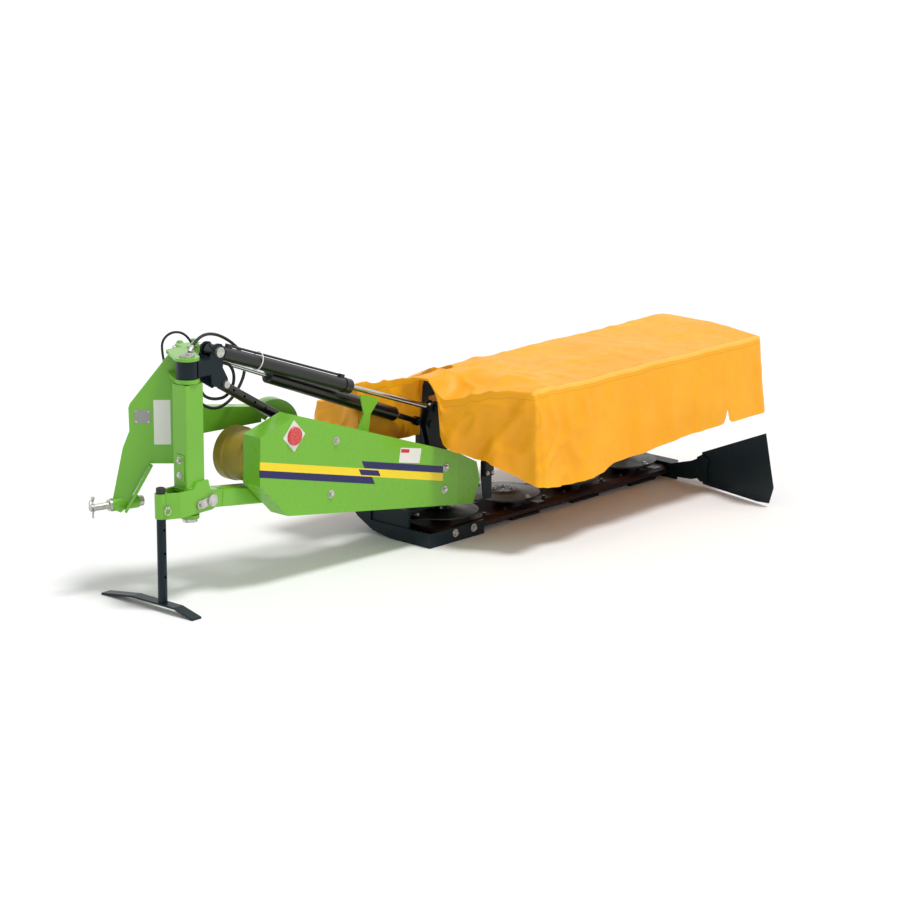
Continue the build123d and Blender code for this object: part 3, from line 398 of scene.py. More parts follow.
def guard_paint():
    finish = Finish("green_gloss_banded", grass_green, 0.28, coat=0.2)
    finish.gleam(0.3)
    x = finish.axis("X")
    y = finish.axis("Y")
    z = finish.axis("Z")
    left_x = at(band_start[0], 0, 0).x
    right_x = at(band_end[0], 0, 0).x
    on_face = y < guard_low[1] + 0.004
    along = (x > left_x) * (x < right_x) * on_face
    level = z - (x - left_x) * band_slope
    slant = x + level * band_slant

    def band(low, high):
        """A stripe between two heights, in metres where the bands start."""
        return (level > low) * (level < high) * along

    def cut(x_middle, middle):
        """Where a slanted cut runs: its x in millimetres at the height of the stripe's middle line."""
        return at(x_middle, 0, 0).x + band_slant * middle

    yellow_band = band(0.527, 0.561)
    lower_navy = band(0.496, 0.527) * (slant < cut(1056, 0.512))
    middle_navy = band(0.532, 0.556) * (slant > cut(975, 0.544)) * (slant < cut(1092, 0.544))
    upper_navy = band(0.562, 0.592) * (slant > cut(995, 0.575))
    drift = finish.noise(2.0, 2.0).between(0.3, 0.7)
    ground = finish.mix(drift, shade(grass_green, 0.95), shade(grass_green, 1.03))
    ground, film = dusted(finish, ground, 0.05, 0.1, 0.6)
    tone = finish.mix(yellow_band, ground, yellow)
    tone = finish.mix(lower_navy.high(upper_navy).high(middle_navy), tone, navy)
    finish.set("Roughness", finish.noise(38.0, 4.0) * 0.08 + film * 0.4 + 0.24)
    finish.bump(finish.noise(420.0, 2.0), 0.00002)
    return finish.close(tone)


green_banded = guard_paint()
print("bands slope", round(band_slope, 3))

# %% [markdown]
# Bare metal comes in three kinds here: dull zinc on pins and screws, bright turned steel on rods and the
# drive shaft, and the oiled steel of the discs. Turned steel has fine rings, zinc has a cloudy grain.

# %% Metals, plastics and rubber


def zinc_plate():
    finish = Finish("zinc_plate", srgb(196, 196, 190), 0.34, metallic=0.9)
    cloud = finish.noise(60.0, 4.0).between(0.3, 0.7)
    finish.set("Roughness", finish.noise(120.0, 3.0) * 0.22 + 0.22)
    finish.bump(finish.noise(300.0, 3.0), 0.00005)
    return finish.close(finish.mix(cloud, srgb(168, 168, 160), srgb(208, 208, 202)))


def turned_steel():
    finish = Finish("turned_steel", srgb(200, 200, 204), 0.2, metallic=1.0)
    rings = finish.noise(1.0, 2.0, 0.5, finish.stretched(900.0, 60.0, 60.0))
    finish.set("Roughness", rings * 0.16 + 0.12)
    return finish.close(finish.mix(rings, srgb(176, 178, 184), srgb(214, 214, 216)))


def disc_metal():
    finish = Finish("disc_metal", srgb(44, 48, 36), 0.42, metallic=0.35)
    worn = finish.noise(14.0, 5.0, 0.6).between(0.5, 0.7)
    tone = finish.mix(worn, srgb(30, 34, 26), srgb(74, 72, 62))
    finish.set("Roughness", worn * 0.2 + 0.36)
    finish.set("Metallic", worn * 0.5 + 0.25)
    finish.bump(finish.noise(90.0, 4.0), 0.0002)
    return finish.close(tone)


def moulded(name, colour, roughness, grain=0.00012, dust=0.15):
    """Moulded plastic or rubber: a fine leathery grain and duller high spots."""
    finish = Finish(name, colour, roughness)
    tone, film = dusted(finish, colour, dust, 0.1, 1.1)
    finish.set("Roughness", finish.noise(55.0, 4.0) * 0.16 + film * 0.3 + (roughness - 0.08))
    finish.bump(finish.noise(700.0, 3.0), grain)
    return finish.close(tone)


def lens_red():
    """A reflector: red plastic over a net of small prisms, with a painted glint, lighter on each facet's rim.
    """
    finish = Finish("lens_red", srgb(214, 34, 34), 0.12, coat=0.6)
    prisms = {"Vector": finish.place, "Scale": 190.0}
    cells = finish.node("ShaderNodeTexVoronoi", {"distance": "CHEBYCHEV"}, prisms, "Distance")
    prism_rims_and_glint = cells.between(0.15, 0.6)
    finish.set("Roughness", prism_rims_and_glint * 0.2 + 0.08)
    finish.bump(cells, 0.0006)
    # Painted glint: the red is lighter towards each facet's rim, as if the prisms caught the light.
    return finish.close(finish.mix(prism_rims_and_glint, srgb(150, 10, 14), srgb(240, 60, 52)))


zinc = zinc_plate()
steel = turned_steel()
disc_steel = disc_metal()
black_plastic = moulded("black_plastic", srgb(18, 18, 20), 0.55)
rubber = moulded("black_rubber", srgb(15, 15, 16), 0.6, 0.0002, 0.1)
olive = moulded("olive_plastic", srgb(158, 134, 46), 0.45, 0.00008, 0.06)
white = moulded("white_plate", srgb(232, 232, 226), 0.35, 0.00004, 0.08)
red_lens = lens_red()
print("metals and plastics made")

# %% [markdown]
# ## Finishes onto the rigid parts
# The rigid parts keep their shapes. Each takes the finish of its slot in the record, except the guard,
# whose bands belong to it alone.

# %% Finishes onto the rigid parts
finish_of = {
    "green_paint": green, "slate_paint": slate, "black_paint": black, "black_plastic": black_plastic,
    "black_rubber": rubber, "olive_plastic": olive, "zinc": zinc, "bright_steel": steel,
    "disc_steel": disc_steel, "maroon_paint": maroon, "white_plate": white, "red_lens": red_lens,
}
slot_of = {part["node"]: part["material_slot"] for part in frame["record"]["subparts"]}
for name, piece in nodes.items():
    chosen = green_banded if name == "belt_guard" else finish_of.get(slot_of[name])
    if chosen is None:
        continue
    piece.data.materials.clear()
    piece.data.materials.append(chosen)
print("finished nodes", len(nodes))

# %% [markdown]
# ## Floor
# A wide pale floor keeps the machine's shadow. It is so large that the camera never sees its end.

# %% Floor
bare()
bpy.ops.mesh.primitive_plane_add(size=160, location=(0, 0, -0.0005))
floor = current("studio_floor")
floor_finish = Finish("studio_floor", (0.93, 0.93, 0.93), 0.9)
floor_tone = floor_finish.noise(0.4, 2.0).between(0.2, 0.8)
floor_colour = floor_finish.mix(floor_tone, (0.92, 0.92, 0.92), (0.95, 0.95, 0.95))
floor.data.materials.append(floor_finish.close(floor_colour))

# %% [markdown]
# ## Hoses
# A hydraulic hose is stiff: it leaves its end fitting straight and arches over in one smooth line. Each
# hose is a curve through a few given points, with a round section, and goes from fitting to fitting.

# %% Hoses
# Points in millimetres from the stand's foot, from the first fitting to the last.
hose_points = {
    "hose_over": [
        (174, -6, 1044), (206, 4, 1067), (261, 22, 1080), (340, 54, 1070), (437, 92, 1036), (527, 110, 981),
        (583, 121, 919), (587, 123, 855), (552, 123, 797), (498, 123, 750), (426, 123, 731), (357, 122, 754),
        (300, 100, 801), (254, 70, 832), (224, 46, 866),
    ],
    "hose_inner": [
        (240, 26, 880), (254, 28, 849), (282, 32, 820), (335.4, 33, 802), (396.6, 33, 802), (440, 33, 845.4),
        (440, 33, 906.6), (396.6, 33, 950), (336.1, 33, 950),
    ],
    "hose_left": [
        (184.8, 167.5, 960), (178.7, 171.5, 1000), (178.7, 171.5, 1047.3), (206.3, 153.3, 1080.4),
        (245.2, 127.7, 1080.4), (273.3, 109.2, 1049), (281.7, 103.7, 1023),
    ],
}
# For each hose, the body that carries it and its outside diameter in millimetres.
hose_facts = {
    "hose_over": ("swing_frame", 13.0), "hose_inner": ("swing_frame", 13.0), "hose_left": ("headstock", 10.0),
}


def hose(node):
    body, diameter = hose_facts[node]
    line = bpy.data.curves.new(node + "_line", "CURVE")
    line.dimensions = "3D"
    line.resolution_u = 12
    spline = line.splines.new("NURBS")
    places = [at(*point) for point in hose_points[node]]
    spline.points.add(len(places) - 1)
    for point, place in zip(spline.points, places):
        point.co = (*place, 1)
    spline.order_u = 3
    spline.use_endpoint_u = True
    piece = bpy.data.objects.new(node + "_rubber", line)
    bpy.context.scene.collection.objects.link(piece)
    bpy.context.view_layer.update()
    centre_line = bpy.data.meshes.new_from_object(piece)
    bpy.data.meshes.remove(centre_line)
    line.bevel_depth = diameter / 2000
    line.bevel_resolution = 6
    line.use_fill_caps = True
    line.materials.append(rubber)
    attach(piece, body)
    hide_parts(node)
    return piece


for hose_name in hose_points:
    hose(hose_name)

# %% [markdown]
# ## The canvas
# The cover is one coated cloth, cut as an L so that a flap reaches over the hinge. Its roof lies on the
# frame's bars and sags a little between them, and its curtains hang free with soft folds that grow towards
# the hem. It is made as a grid of small squares: the roof first, then a curtain hung all round the roof's
# edge.

# %% The canvas: its outline and heights
step = 14.0
cover_left = 1596.0
cover_right = 3116.0
cover_rear = -564.0
cover_front = 344.0
flap_left = 1214.0
flap_rear = 96.0
wing = [(cover_left, cover_rear), (1436.0, -160.0), (1398.0, -42.0)]
notch_right = 1660.0
notch_front = 26.0
notch_rear = -42.0
curtain_rows = 26
cloth_over_bars = 3.5
sag_depth = 17.0
# Where the frame's bars leave the cloth unsupported, as (start, end) along x and along y.
bays = [(1690.0, 2350.0), (2384.0, 3028.0), (1242.0, 1664.0)]
spans = [(-534.0, -13.0), (13.0, 306.0)]
# (y, height) of the bars under the roof.
roof_profile = [(-600, 697), (-560, 700), (-290, 726), (0, 722), (340, 580), (400, 555)]
# (y, depth) of the cloth's fall between the rear corner and the bar beside the slot.
wing_falls = [(-600, 0.0), (-450, 0.0), (-360, 26.0), (-270, 54.0), (-186, 76.0), (-140, 34.0), (-116, 0.0)]
wing_front = -116.0
wing_right = 1655.0
# (x, height) of the hem along the rear, and (y, height) of the hem along the left end.
rear_hem = [
    (1590, 306), (1700, 284), (1790, 274), (1900, 282), (2010, 290), (2060, 312), (2280, 326), (2560, 344),
    (2830, 352), (2860, 350), (3130, 352),
]
left_hem = [(-570, 306), (-551, 312), (-460, 356), (-371, 400), (-312, 394), (-227, 424), (-160, 466)]
slit_x = 2862.0
slit_half_width = 15.0
slit_height = 96.0
# The flap falls to its rear edge, its free corner is lifted, and the cloth rides high over the slot's bar.
flap_fall = 12.0
flap_corner_lift = 28.0
slot_bar_lift = 5.0
slot_bar_y = -90.0
# How far the cloth hangs down inside the slot, beside the rod and further right.
slot_lip = 9.0
slot_end_lip = 26.0


def soft(value, low, high):
    """0 below low, 1 above high, and a smooth turn between."""
    t = min(1.0, max(0.0, (value - low) / (high - low)))
    return t * t * (3 - 2 * t)


def along(table, value):
    """A value read off a table of pairs, straight between them."""
    for (a, b), (c, d) in zip(table, table[1:]):
        if value <= c:
            return b + (d - b) * (value - a) / (c - a)
    return table[-1][1]


def wing_edge(y):
    """Where the cloth ends at the left of the rod's slot, which slants from the rear corner to the slot."""
    return along([(b, a) for a, b in wing], y)


def drawn_in(x, y):
    """The grid's columns left of the slot's end, drawn in to meet the slanted edge."""
    if y > notch_rear + 0.1 or x >= notch_right:
        return x
    left = wing_edge(y)
    return left + (x - flap_left) / (notch_right - flap_left) * (notch_right - left)


def roof_line(y):
    """The roof's height across the bar, following the bars of the frame."""
    return along(roof_profile, y)


def crumple(x, y, z, scale):
    """Sharp creases, as stiff coated cloth makes: 0 on the flats and 1 on a crease."""
    value = noise.noise(Vector((x / scale, y / scale, z / scale)))
    return max(0.0, 1 - 3.2 * abs(value)) ** 2


def wing_drop(x, y):
    """The cloth falls away between the rear corner and the bar beside the slot."""
    if y > wing_front or x > wing_right:
        return 0.0
    left = wing_edge(y)
    return along(wing_falls, y) * (1 - soft((x - left) / (wing_right - left), 0.0, 1.0))


# %% [markdown]
# The roof follows the bars, falls lower on the flap, sags in each open bay, and is crumpled most over the
# slack left end. A crease is where a smooth random field crosses nought, so it runs in long crooked lines
# as in stiff cloth.

# %% The canvas: height of the roof


def roof_height(x, y):
    """The cloth's height at a place on the roof."""
    on_flap = (1 - soft(x, 1540, 1630)) * soft(y, flap_rear - 6, flap_rear)
    drop = on_flap * max(0.0, flap_fall * (1 - (y - 118) / 222)) + wing_drop(x, y)
    drop -= on_flap * flap_corner_lift * (1 - soft(y, flap_rear, 210)) * (1 - soft(x, 1440, 1600))
    drop -= slot_bar_lift * (1 - soft(abs(y - slot_bar_y), 22, 40)) * (1 - soft(x, 1640, 1700))
    sag = 0.0
    for x0, x1 in bays:
        for y0, y1 in spans:
            if x0 < x < x1 and y0 < y < y1:
                u = math.sin(math.pi * (x - x0) / (x1 - x0))
                v = math.sin(math.pi * (y - y0) / (y1 - y0))
                sag += sag_depth * (u * v) ** 0.8
    ripple = noise.noise(Vector((x / 260, y / 170, 2.0))) * 6.0
    ripple += noise.noise(Vector((x / 80, y / 130, 7.0))) * 2.6
    slack = 1 - soft(x, 1660, 2050)
    creased = 14.0 * crumple(x, y, 40.0, 150.0) * slack + 4.5 * crumple(x, y, 400.0, 230.0)
    return roof_line(y) + cloth_over_bars - drop - sag + max(-1.5, ripple + creased)


# %% [markdown]
# The hem was cut by hand and hangs uneven: low at the rear left, higher along the bar, with a slit near the
# far end. The folds of a hanging cloth are waves along its edge, which start at nothing under the rim and
# grow downwards.

# %% The canvas: hem and folds


def hem_height(x, y, outward):
    """How high the hem hangs at a place on the roof's edge."""
    if outward.y < -0.7 and y < cover_rear + 1:
        slit = max(0.0, 1 - abs(x - slit_x) / slit_half_width)
        return along(rear_hem, x) + slit_height * slit
    if outward.y > 0.7:
        if y > cover_front - 1:
            return 330.0 + 8 * math.sin(x / 170)
        return 420.0 + 14 * math.sin(x / 60)
    if x > cover_right - 1:
        return 350.0 - 12 * math.sin((y - cover_rear) / 900 * math.pi)
    if y > flap_rear - 1:
        return 420.0 - 70 * soft(y, flap_rear, cover_front)
    return along(left_hem, y)


def fold_depth(run, fall, stirred):
    """How far the curtain stands out, by the run along the edge and the fall below it."""
    slow = math.sin(run / 46 + 1.4 * math.sin(run / 131))
    quick = 0.45 * math.sin(run / 21 + 2.1 * math.sin(run / 83))
    lean = noise.noise(Vector((run / 150, fall / 260, 3.0))) * 1.5
    pucker = noise.noise(Vector((run / 42, fall / 60, 9.0)))
    creases = crumple(run, fall * 0.8, 11.0, 110.0) * 15.0 * stirred + crumple(run, fall, 90.0, 190.0) * 2.5
    grown = soft(fall, 15, 330)
    waves = (slow + quick) * (3.0 + 7 * stirred) + lean * (5 + 11 * stirred)
    return grown * waves + pucker * 2.6 * soft(fall, 5, 60) + creases * soft(fall, 10, 70)


def corner_fold(x, y, z):
    """The long fold on the left end, from the rear corner down to the hem."""
    if x > cover_left + 1 or y > -170:
        return 0.0
    side = ((y + 560) * 300 - (700 - z) * 205) / 363
    ridge = 20.0 * math.exp(-((side / 12) ** 2))
    hollow = -15.0 * math.exp(-(((side - 34) / 24) ** 2))
    return (ridge + hollow) * soft(700 - z, 15, 90)


# %% [markdown]
# The roof is a grid of squares whose lines meet each corner of the outline, with the squares outside it
# left out. Its open edge is then followed all round, so that the curtain can be hung from it.

# %% The canvas: the roof's squares


def keeps(x, y):
    """Whether a square of the roof's grid, by its centre, belongs to the cloth."""
    if notch_rear < y < notch_front:
        return x > notch_right
    return y < notch_rear or y > flap_rear or x > cover_left


def spread(places):
    """Grid lines that meet every given place, with about one step between."""
    lines = []
    for a, b in zip(places, places[1:]):
        count = max(1, round((b - a) / step))
        lines += [a + (b - a) * k / count for k in range(count)]
    return lines + [places[-1]]


lines_x = spread([flap_left, cover_left, notch_right, 2371.0, cover_right])
lines_y = spread([cover_rear, -160.0, notch_rear, notch_front, flap_rear, cover_front])
cloth = bmesh.new()
corner = {}
for i, x in enumerate(lines_x):
    for j, y in enumerate(lines_y):
        corner[i, j] = (drawn_in(x, y), y)
roof_vertex = {}


def roof_vertex_at(i, j):
    """The corner of the grid at two lines, made when it is first asked for."""
    if (i, j) not in roof_vertex:
        x, y = corner[i, j]
        roof_vertex[i, j] = cloth.verts.new((x, y, roof_height(x, y)))
    return roof_vertex[i, j]


for i in range(len(lines_x) - 1):
    for j in range(len(lines_y) - 1):
        if keeps((lines_x[i] + lines_x[i + 1]) / 2, (lines_y[j] + lines_y[j + 1]) / 2):
            cloth.faces.new([roof_vertex_at(i, j), roof_vertex_at(i + 1, j), roof_vertex_at(i + 1, j + 1),
                             roof_vertex_at(i, j + 1)])
cloth.normal_update()
follow = {}
for edge in cloth.edges:
    if len(edge.link_faces) == 1:
        loop = edge.link_loops[0]
        follow[loop.vert] = loop.link_loop_next.vert
start = min(follow, key=lambda v: (v.co.y, v.co.x))
rim = [start]
while follow[rim[-1]] is not start:
    rim.append(follow[rim[-1]])
print("roof squares", len(cloth.faces), "rim", len(rim))

# %% [markdown]
# The curtain leans out a little towards its hem, more at the back. Near the flap and the left end it is
# slack and stirred, and further right it hangs nearly smooth, as the real one does.

# %% The canvas: the curtain hung from the rim
runs = [0.0]
for a, b in zip(rim, rim[1:]):
    runs.append(runs[-1] + math.hypot(b.co.x - a.co.x, b.co.y - a.co.y))
count = len(rim)
outward = []
for k in range(count):
    before = rim[k - 1].co
    after = rim[(k + 1) % count].co
    side = Vector((after.y - before.y, before.x - after.x, 0))
    outward.append(side.normalized() if side.length > 0 else Vector((0, -1, 0)))
rounded = [sum((outward[(k + n) % count] for n in range(-2, 3)), Vector()).normalized() for k in range(count)]
in_slot = [v.co.x < notch_right + 1 and -161 < v.co.y < flap_rear - 1 for v in rim]
hang = []
for k, top in enumerate(rim):
    x, y = top.co.x, top.co.y
    lip = slot_lip if x < cover_left - 1 else slot_end_lip
    foot = top.co.z - lip if in_slot[k] else hem_height(x, y, outward[k])
    stirred = max(1 - soft(x, 1640, 2250), 0.12)
    lean = 26.0 if y < cover_rear + 1 else 12.0
    rows = [top]
    for row in range(1, curtain_rows + 1):
        fall = (top.co.z - foot) * row / curtain_rows
        folds = fold_depth(runs[k], fall, stirred) + corner_fold(x, y, top.co.z - fall)
        out = lean * fall / 360 + (0 if in_slot[k] else folds)
        place = top.co + rounded[k] * out
        rows.append(cloth.verts.new((place.x, place.y, top.co.z - fall)))
    hang.append(rows)
for k in range(count):
    here = hang[k]
    there = hang[(k + 1) % count]
    for row in range(curtain_rows):
        cloth.faces.new([there[row], here[row], here[row + 1], there[row + 1]])
cloth.normal_update()
flat_area = sum(face.calc_area() for face in cloth.faces) / 1e6

# %% [markdown]
# Seams follow the cloth, so each corner is marked with its place on the flat cloth, in metres. The roof
# keeps its own x and y. On the curtain the marks are the run along the rim and the fall below it plus 2,
# which tells the finish the two apart.

# %% The canvas: places on the flat cloth
uv = cloth.loops.layers.uv.new("cut")
row_of = {}
for k, rows in enumerate(hang):
    for row, vertex in enumerate(rows):
        row_of[vertex] = (k, row)
for face in cloth.faces:
    ks = [row_of[v][0] for v in face.verts if v in row_of]
    is_roof = face.normal.z > 0.75 and any(v not in row_of or row_of[v][1] == 0 for v in face.verts)
    wraps = max(ks) - min(ks) > 2 if ks else False
    for loop in face.loops:
        v = loop.vert
        if is_roof or v not in row_of:
            loop[uv].uv = (v.co.x / 1000, v.co.y / 1000)
        else:
            k, row = row_of[v]
            run = runs[k] + (runs[-1] + step if wraps and k < 3 else 0)
            loop[uv].uv = (run / 1000, 2 + (rim[k].co.z - v.co.z) / 1000)
for vertex in cloth.verts:
    vertex.co = at(*vertex.co)
canvas_mesh = bpy.data.meshes.new("canvas_hood")
cloth.to_mesh(canvas_mesh)
cloth.free()
canvas = bpy.data.objects.new("canvas_hood", canvas_mesh)
bpy.context.scene.collection.objects.link(canvas)
print("cloth squares", len(canvas_mesh.polygons), "area", round(flat_area, 3))

# %% [markdown]
# Coated canvas has a fine weave under a satin film. A seam runs along the rear rim: a raised edge with a row
# of stitches above and below it, and a painted highlight on both sides of the rim, where the cloth is painted
# paler. The colour is a warm orange yellow in soft clouds, a little browner in fine patches.

# %% The canvas: cloth finish and thickness


def canvas_finish():
    finish = Finish("coated_canvas", srgb(252, 174, 18), 0.46)
    cut = finish.node("ShaderNodeUVMap", {"uv_map": "cut"})
    u = finish.axis("X", cut)
    v = finish.axis("Y", cut)
    warp = finish.node("ShaderNodeTexWave", {"bands_direction": "X"}, {"Vector": cut, "Scale": 150.0}, "Fac")
    weft = finish.node("ShaderNodeTexWave", {"bands_direction": "Y"}, {"Vector": cut, "Scale": 150.0}, "Fac")
    cloud = finish.noise(3.2, 4.0, 0.6).between(0.3, 0.75)
    fine = finish.noise(26.0, 5.0, 0.65).between(0.35, 0.7)
    tone = finish.mix(cloud, srgb(248, 166, 14), srgb(255, 182, 24))
    tone = finish.mix(fine * 0.2, tone, srgb(230, 146, 16))
    below = v - 2.0
    inward = v - cover_rear / 1000
    at_rear = (finish.axis("X") > at(1590, 0, 0).x) * (finish.axis("Y") < at(0, -540, 0).y)
    # The band below the rear rim is a raised edge in the bump and a painted highlight in the colour.
    raised_rim_and_highlight = (below > 0.0) * (below < 0.014) * at_rear
    roof_edge_highlight = (v < 1.0) * (inward < 0.010)
    stitch = finish.node("ShaderNodeMath", {"operation": "FRACT"}, {0: u * 220.0}) > 0.42
    lower_row = (below > 0.030) * (below < 0.0325)
    upper_row = (v < 1.0) * (inward > 0.0275) * (inward < 0.030)
    rows = lower_row.high(upper_row)
    # Painted highlight: the rear rim and the roof's edge beside it are painted paler, as if lit.
    tone = finish.mix(raised_rim_and_highlight.high(roof_edge_highlight) * 0.6, tone, srgb(255, 206, 96))
    tone = finish.mix(rows * stitch * 0.8, tone, srgb(196, 118, 20))
    finish.set("Roughness", fine * 0.14 + 0.36)
    height = warp * 0.22 + weft * 0.22 + fine * 0.6 + raised_rim_and_highlight * 1.2
    finish.bump(height, 0.0007, 0.55)
    finish.gleam(0.32)
    return finish.close(tone)


canvas_cloth = canvas_finish()
only(canvas)
canvas_mesh.materials.append(canvas_cloth)
relax = canvas.modifiers.new("relax", "SMOOTH")
relax.factor = 0.5
relax.iterations = 2
bpy.ops.object.modifier_apply(modifier="relax")
wall = canvas.modifiers.new("wall", "SOLIDIFY")
wall.thickness = 0.0016
wall.offset = -1
bpy.ops.object.modifier_apply(modifier="wall")
smooth(canvas, 60)
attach(canvas, "cutter_unit")
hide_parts("canvas_cover")
print("canvas triangles", sum(len(p.vertices) - 2 for p in canvas.data.polygons))

# %% [markdown]
# ## Screws
# A screw is a six-sided head with a chamfer on a washer. It is modelled once at the origin, standing on its
# seat with its axis up, and copied wherever the machine has one.

# %% A screw head to copy


def screw_model():
    bare()
    bpy.ops.mesh.primitive_cylinder_add(vertices=6, radius=0.58, depth=0.5, location=(0, 0, 0.33))
    head = current("screw_model")
    bpy.ops.object.mode_set(mode="EDIT")
    pick(head, "FACE", lambda face: face.normal.z > 0.9)
    bpy.ops.mesh.inset(thickness=0.09)
    bpy.ops.transform.translate(value=(0, 0, 0.06))
    bpy.ops.object.mode_set(mode="OBJECT")
    bare()
    bpy.ops.mesh.primitive_cylinder_add(vertices=20, radius=0.95, depth=0.1, location=(0, 0, 0.05))
    washer = current("washer_model")
    bpy.ops.object.mode_set(mode="EDIT")
    pick(washer, "FACE", lambda face: face.normal.z > 0.9)
    bpy.ops.mesh.inset(thickness=0.06)
    bpy.ops.transform.translate(value=(0, 0, 0.03))
    bpy.ops.object.mode_set(mode="OBJECT")
    head.select_set(True)
    bpy.context.view_layer.objects.active = head
    bpy.ops.object.join()
    bpy.ops.object.transform_apply(location=True, rotation=True, scale=True)
    return head


screw = screw_model()


def put_screw(name, place, direction, size, body, turn, finish=None):
    """A screw whose nominal thread is size millimetres, standing on a face."""
    width = size / 1000 * 1.55
    return copy_to(screw, name, facing(place, direction, turn, width), body, finish or zinc)


# %% [markdown]
# The guard's face is held by four screws, and the shoe, the bar, the end cover and the discs have theirs.
# Each row is a short table of places, in millimetres from the stand's foot.

# %% Screws on the machine
guard_face = -150.0
shoe_face = -171.0
end_cover_face = -148.0
bar_screw_y = -104.0
bar_top = 56.0
bar_screw_xs = range(1790, 2960, 130)
disc_centres = {"disc_1": 1640.0, "disc_2": 2040.0, "disc_3": 2440.0, "disc_4": 2840.0}
disc_y = 15.0
hub_circle = 40.0
hub_top = 104.0
blade_circle = 146.0
blade_seat = 89.9
for k, (x, z) in enumerate([(838, 570), (805, 350), (1496, 332), (1487, 236)]):
    put_screw(f"guard_screw_{k}", at(x, guard_face, z), (0, -1, 0), 12, "arm", 0.2 * k)
for k, (x, z) in enumerate([(1534, 38), (1650, 38)]):
    put_screw(f"shoe_screw_{k}", at(x, shoe_face, z), (0, -1, 0), 12, "cutter_unit", 0.5 * k)
for k, x in enumerate(bar_screw_xs):
    place = at(x, bar_screw_y, bar_top)
    put_screw(f"bar_screw_{k}", place, (0, 0, 1), 10, "cutter_unit", 0.3 * k, black)
for k, (x, z) in enumerate([(1764, 254), (1796, 254), (1796, 306)]):
    put_screw(f"end_cover_screw_{k}", at(x, end_cover_face, z), (0, -1, 0), 6, "cutter_unit", 0.4 * k)


def round_disc(x, circle, turn, z):
    """A point on a circle round a disc's shaft."""
    return at(x + circle * math.cos(turn), disc_y + circle * math.sin(turn), z)


for number, (disc, x) in enumerate(disc_centres.items()):
    for k in range(4):
        turn = math.radians(45 + 90 * k)
        put_screw(f"{disc}_hub_screw_{k}", round_disc(x, hub_circle, turn, hub_top), (0, 0, 1), 8, disc, turn)
    for k in range(2):
        turn = math.radians(90 * (number % 2) + 180 * k)
        place = round_disc(x, blade_circle, turn, blade_seat)
        put_screw(f"{disc}_blade_screw_{k}", place, (0, 0, 1), 10, disc, turn)
print("pieces so far", len(made_pieces))

# %% [markdown]
# The labels are blank plates of thin sheet with rounded corners: a white one with a red patch on the guard,
# a white and a grey one on the headstock. A plate is a plane whose corners are bevelled and which is then
# given its gauge.

# %% Blank plates


def thin_plate(name, centre, right, up, size, body, finish, gauge, corner_radius=2.5):
    """A thin sheet with rounded corners, its middle at a place and its sides along two directions."""
    bare()
    bpy.ops.mesh.primitive_plane_add(size=1)
    piece = current(name)
    piece.scale = (size[0] / 1000, size[1] / 1000, 1)
    bpy.ops.object.transform_apply(location=False, rotation=False, scale=True)
    bpy.ops.object.mode_set(mode="EDIT")
    bpy.ops.mesh.select_all(action="SELECT")
    bpy.ops.mesh.bevel(offset=corner_radius / 1000, segments=5, affect="VERTICES")
    bpy.ops.object.mode_set(mode="OBJECT")
    thick = piece.modifiers.new("gauge", "SOLIDIFY")
    thick.thickness = gauge / 1000
    thick.offset = 1
    bpy.ops.object.modifier_apply(modifier="gauge")
    x_axis = Vector(right).normalized()
    z_axis = x_axis.cross(Vector(up)).normalized()
    y_axis = z_axis.cross(x_axis)
    turned = Matrix((x_axis, y_axis, z_axis)).transposed().to_4x4()
    piece.data.transform(Matrix.Translation(centre) @ turned)
    return settle(piece, body, finish)


# %% [markdown]
# The headstock stands turned about the mast, and its left plate is turned once more. Two small functions
# give places in the plates' own measures, so that the labels and their rivets lie flat on them.

# %% Places on the headstock
headstock_turn = math.radians(-15.0)
side_plate_turn = math.radians(-32.0)
side_plate_corner = (-189, 255)
side_plate_half = 7.0


def headstock_place(x, y, z):
    """A point in the headstock's own frame, which is turned about the mast."""
    across = x * math.cos(headstock_turn) - y * math.sin(headstock_turn)
    forward = x * math.sin(headstock_turn) + y * math.cos(headstock_turn)
    return at(155 + across, forward, z)


def side_plate_place(along_plate, z):
    """A point on the rear face of the headstock's left plate."""
    turn = side_plate_turn
    x = side_plate_corner[0] + along_plate * math.cos(turn) + side_plate_half * math.sin(turn)
    y = side_plate_corner[1] + along_plate * math.sin(turn) - side_plate_half * math.cos(turn)
    return headstock_place(x, y, z)


# %% The plates
grey_tin = moulded("grey_tin", srgb(150, 152, 146), 0.35, 0.00004, 0.05)
red_patch = moulded("red_patch", srgb(206, 40, 36), 0.35, 0.00004, 0.05)
sign_gauge = 0.8
sign_right = (0.9785, 0, -0.206)
sign_up = (0.206, 0, 0.9785)
upright = (0, 0, 1)
sign_place = at(1276.5, guard_face, 425.3)
patch_place = at(1246.5, guard_face - sign_gauge, 450.5)
thin_plate("guard_sign", sign_place, sign_right, sign_up, (128, 63), "arm", white, sign_gauge)
thin_plate("guard_sign_patch", patch_place, sign_right, sign_up, (50, 15), "arm", red_patch,
           0.3, 1.0)
plate_right = side_plate_place(1, 700) - side_plate_place(0, 700)
thin_plate("headstock_label", side_plate_place(183, 719), plate_right, upright, (68, 184), "headstock",
           white, 0.5, 3.0)
thin_plate("headstock_plate", side_plate_place(104, 742), plate_right, upright, (64, 56), "headstock",
           grey_tin, 0.8, 2.0)
rivet_stand = Vector((-0.0006, -0.0006, 0))
rivet_way = (-0.731, -0.682, 0)
for k, (a, z) in enumerate([(79, 763), (129, 763), (79, 721), (129, 721)]):
    place = side_plate_place(a, z) + rivet_stand
    put_screw(f"headstock_plate_rivet_{k}", place, rivet_way, 3, "headstock", 0.2 * k)
mast_left = 105.0
mast_middle = -4.0
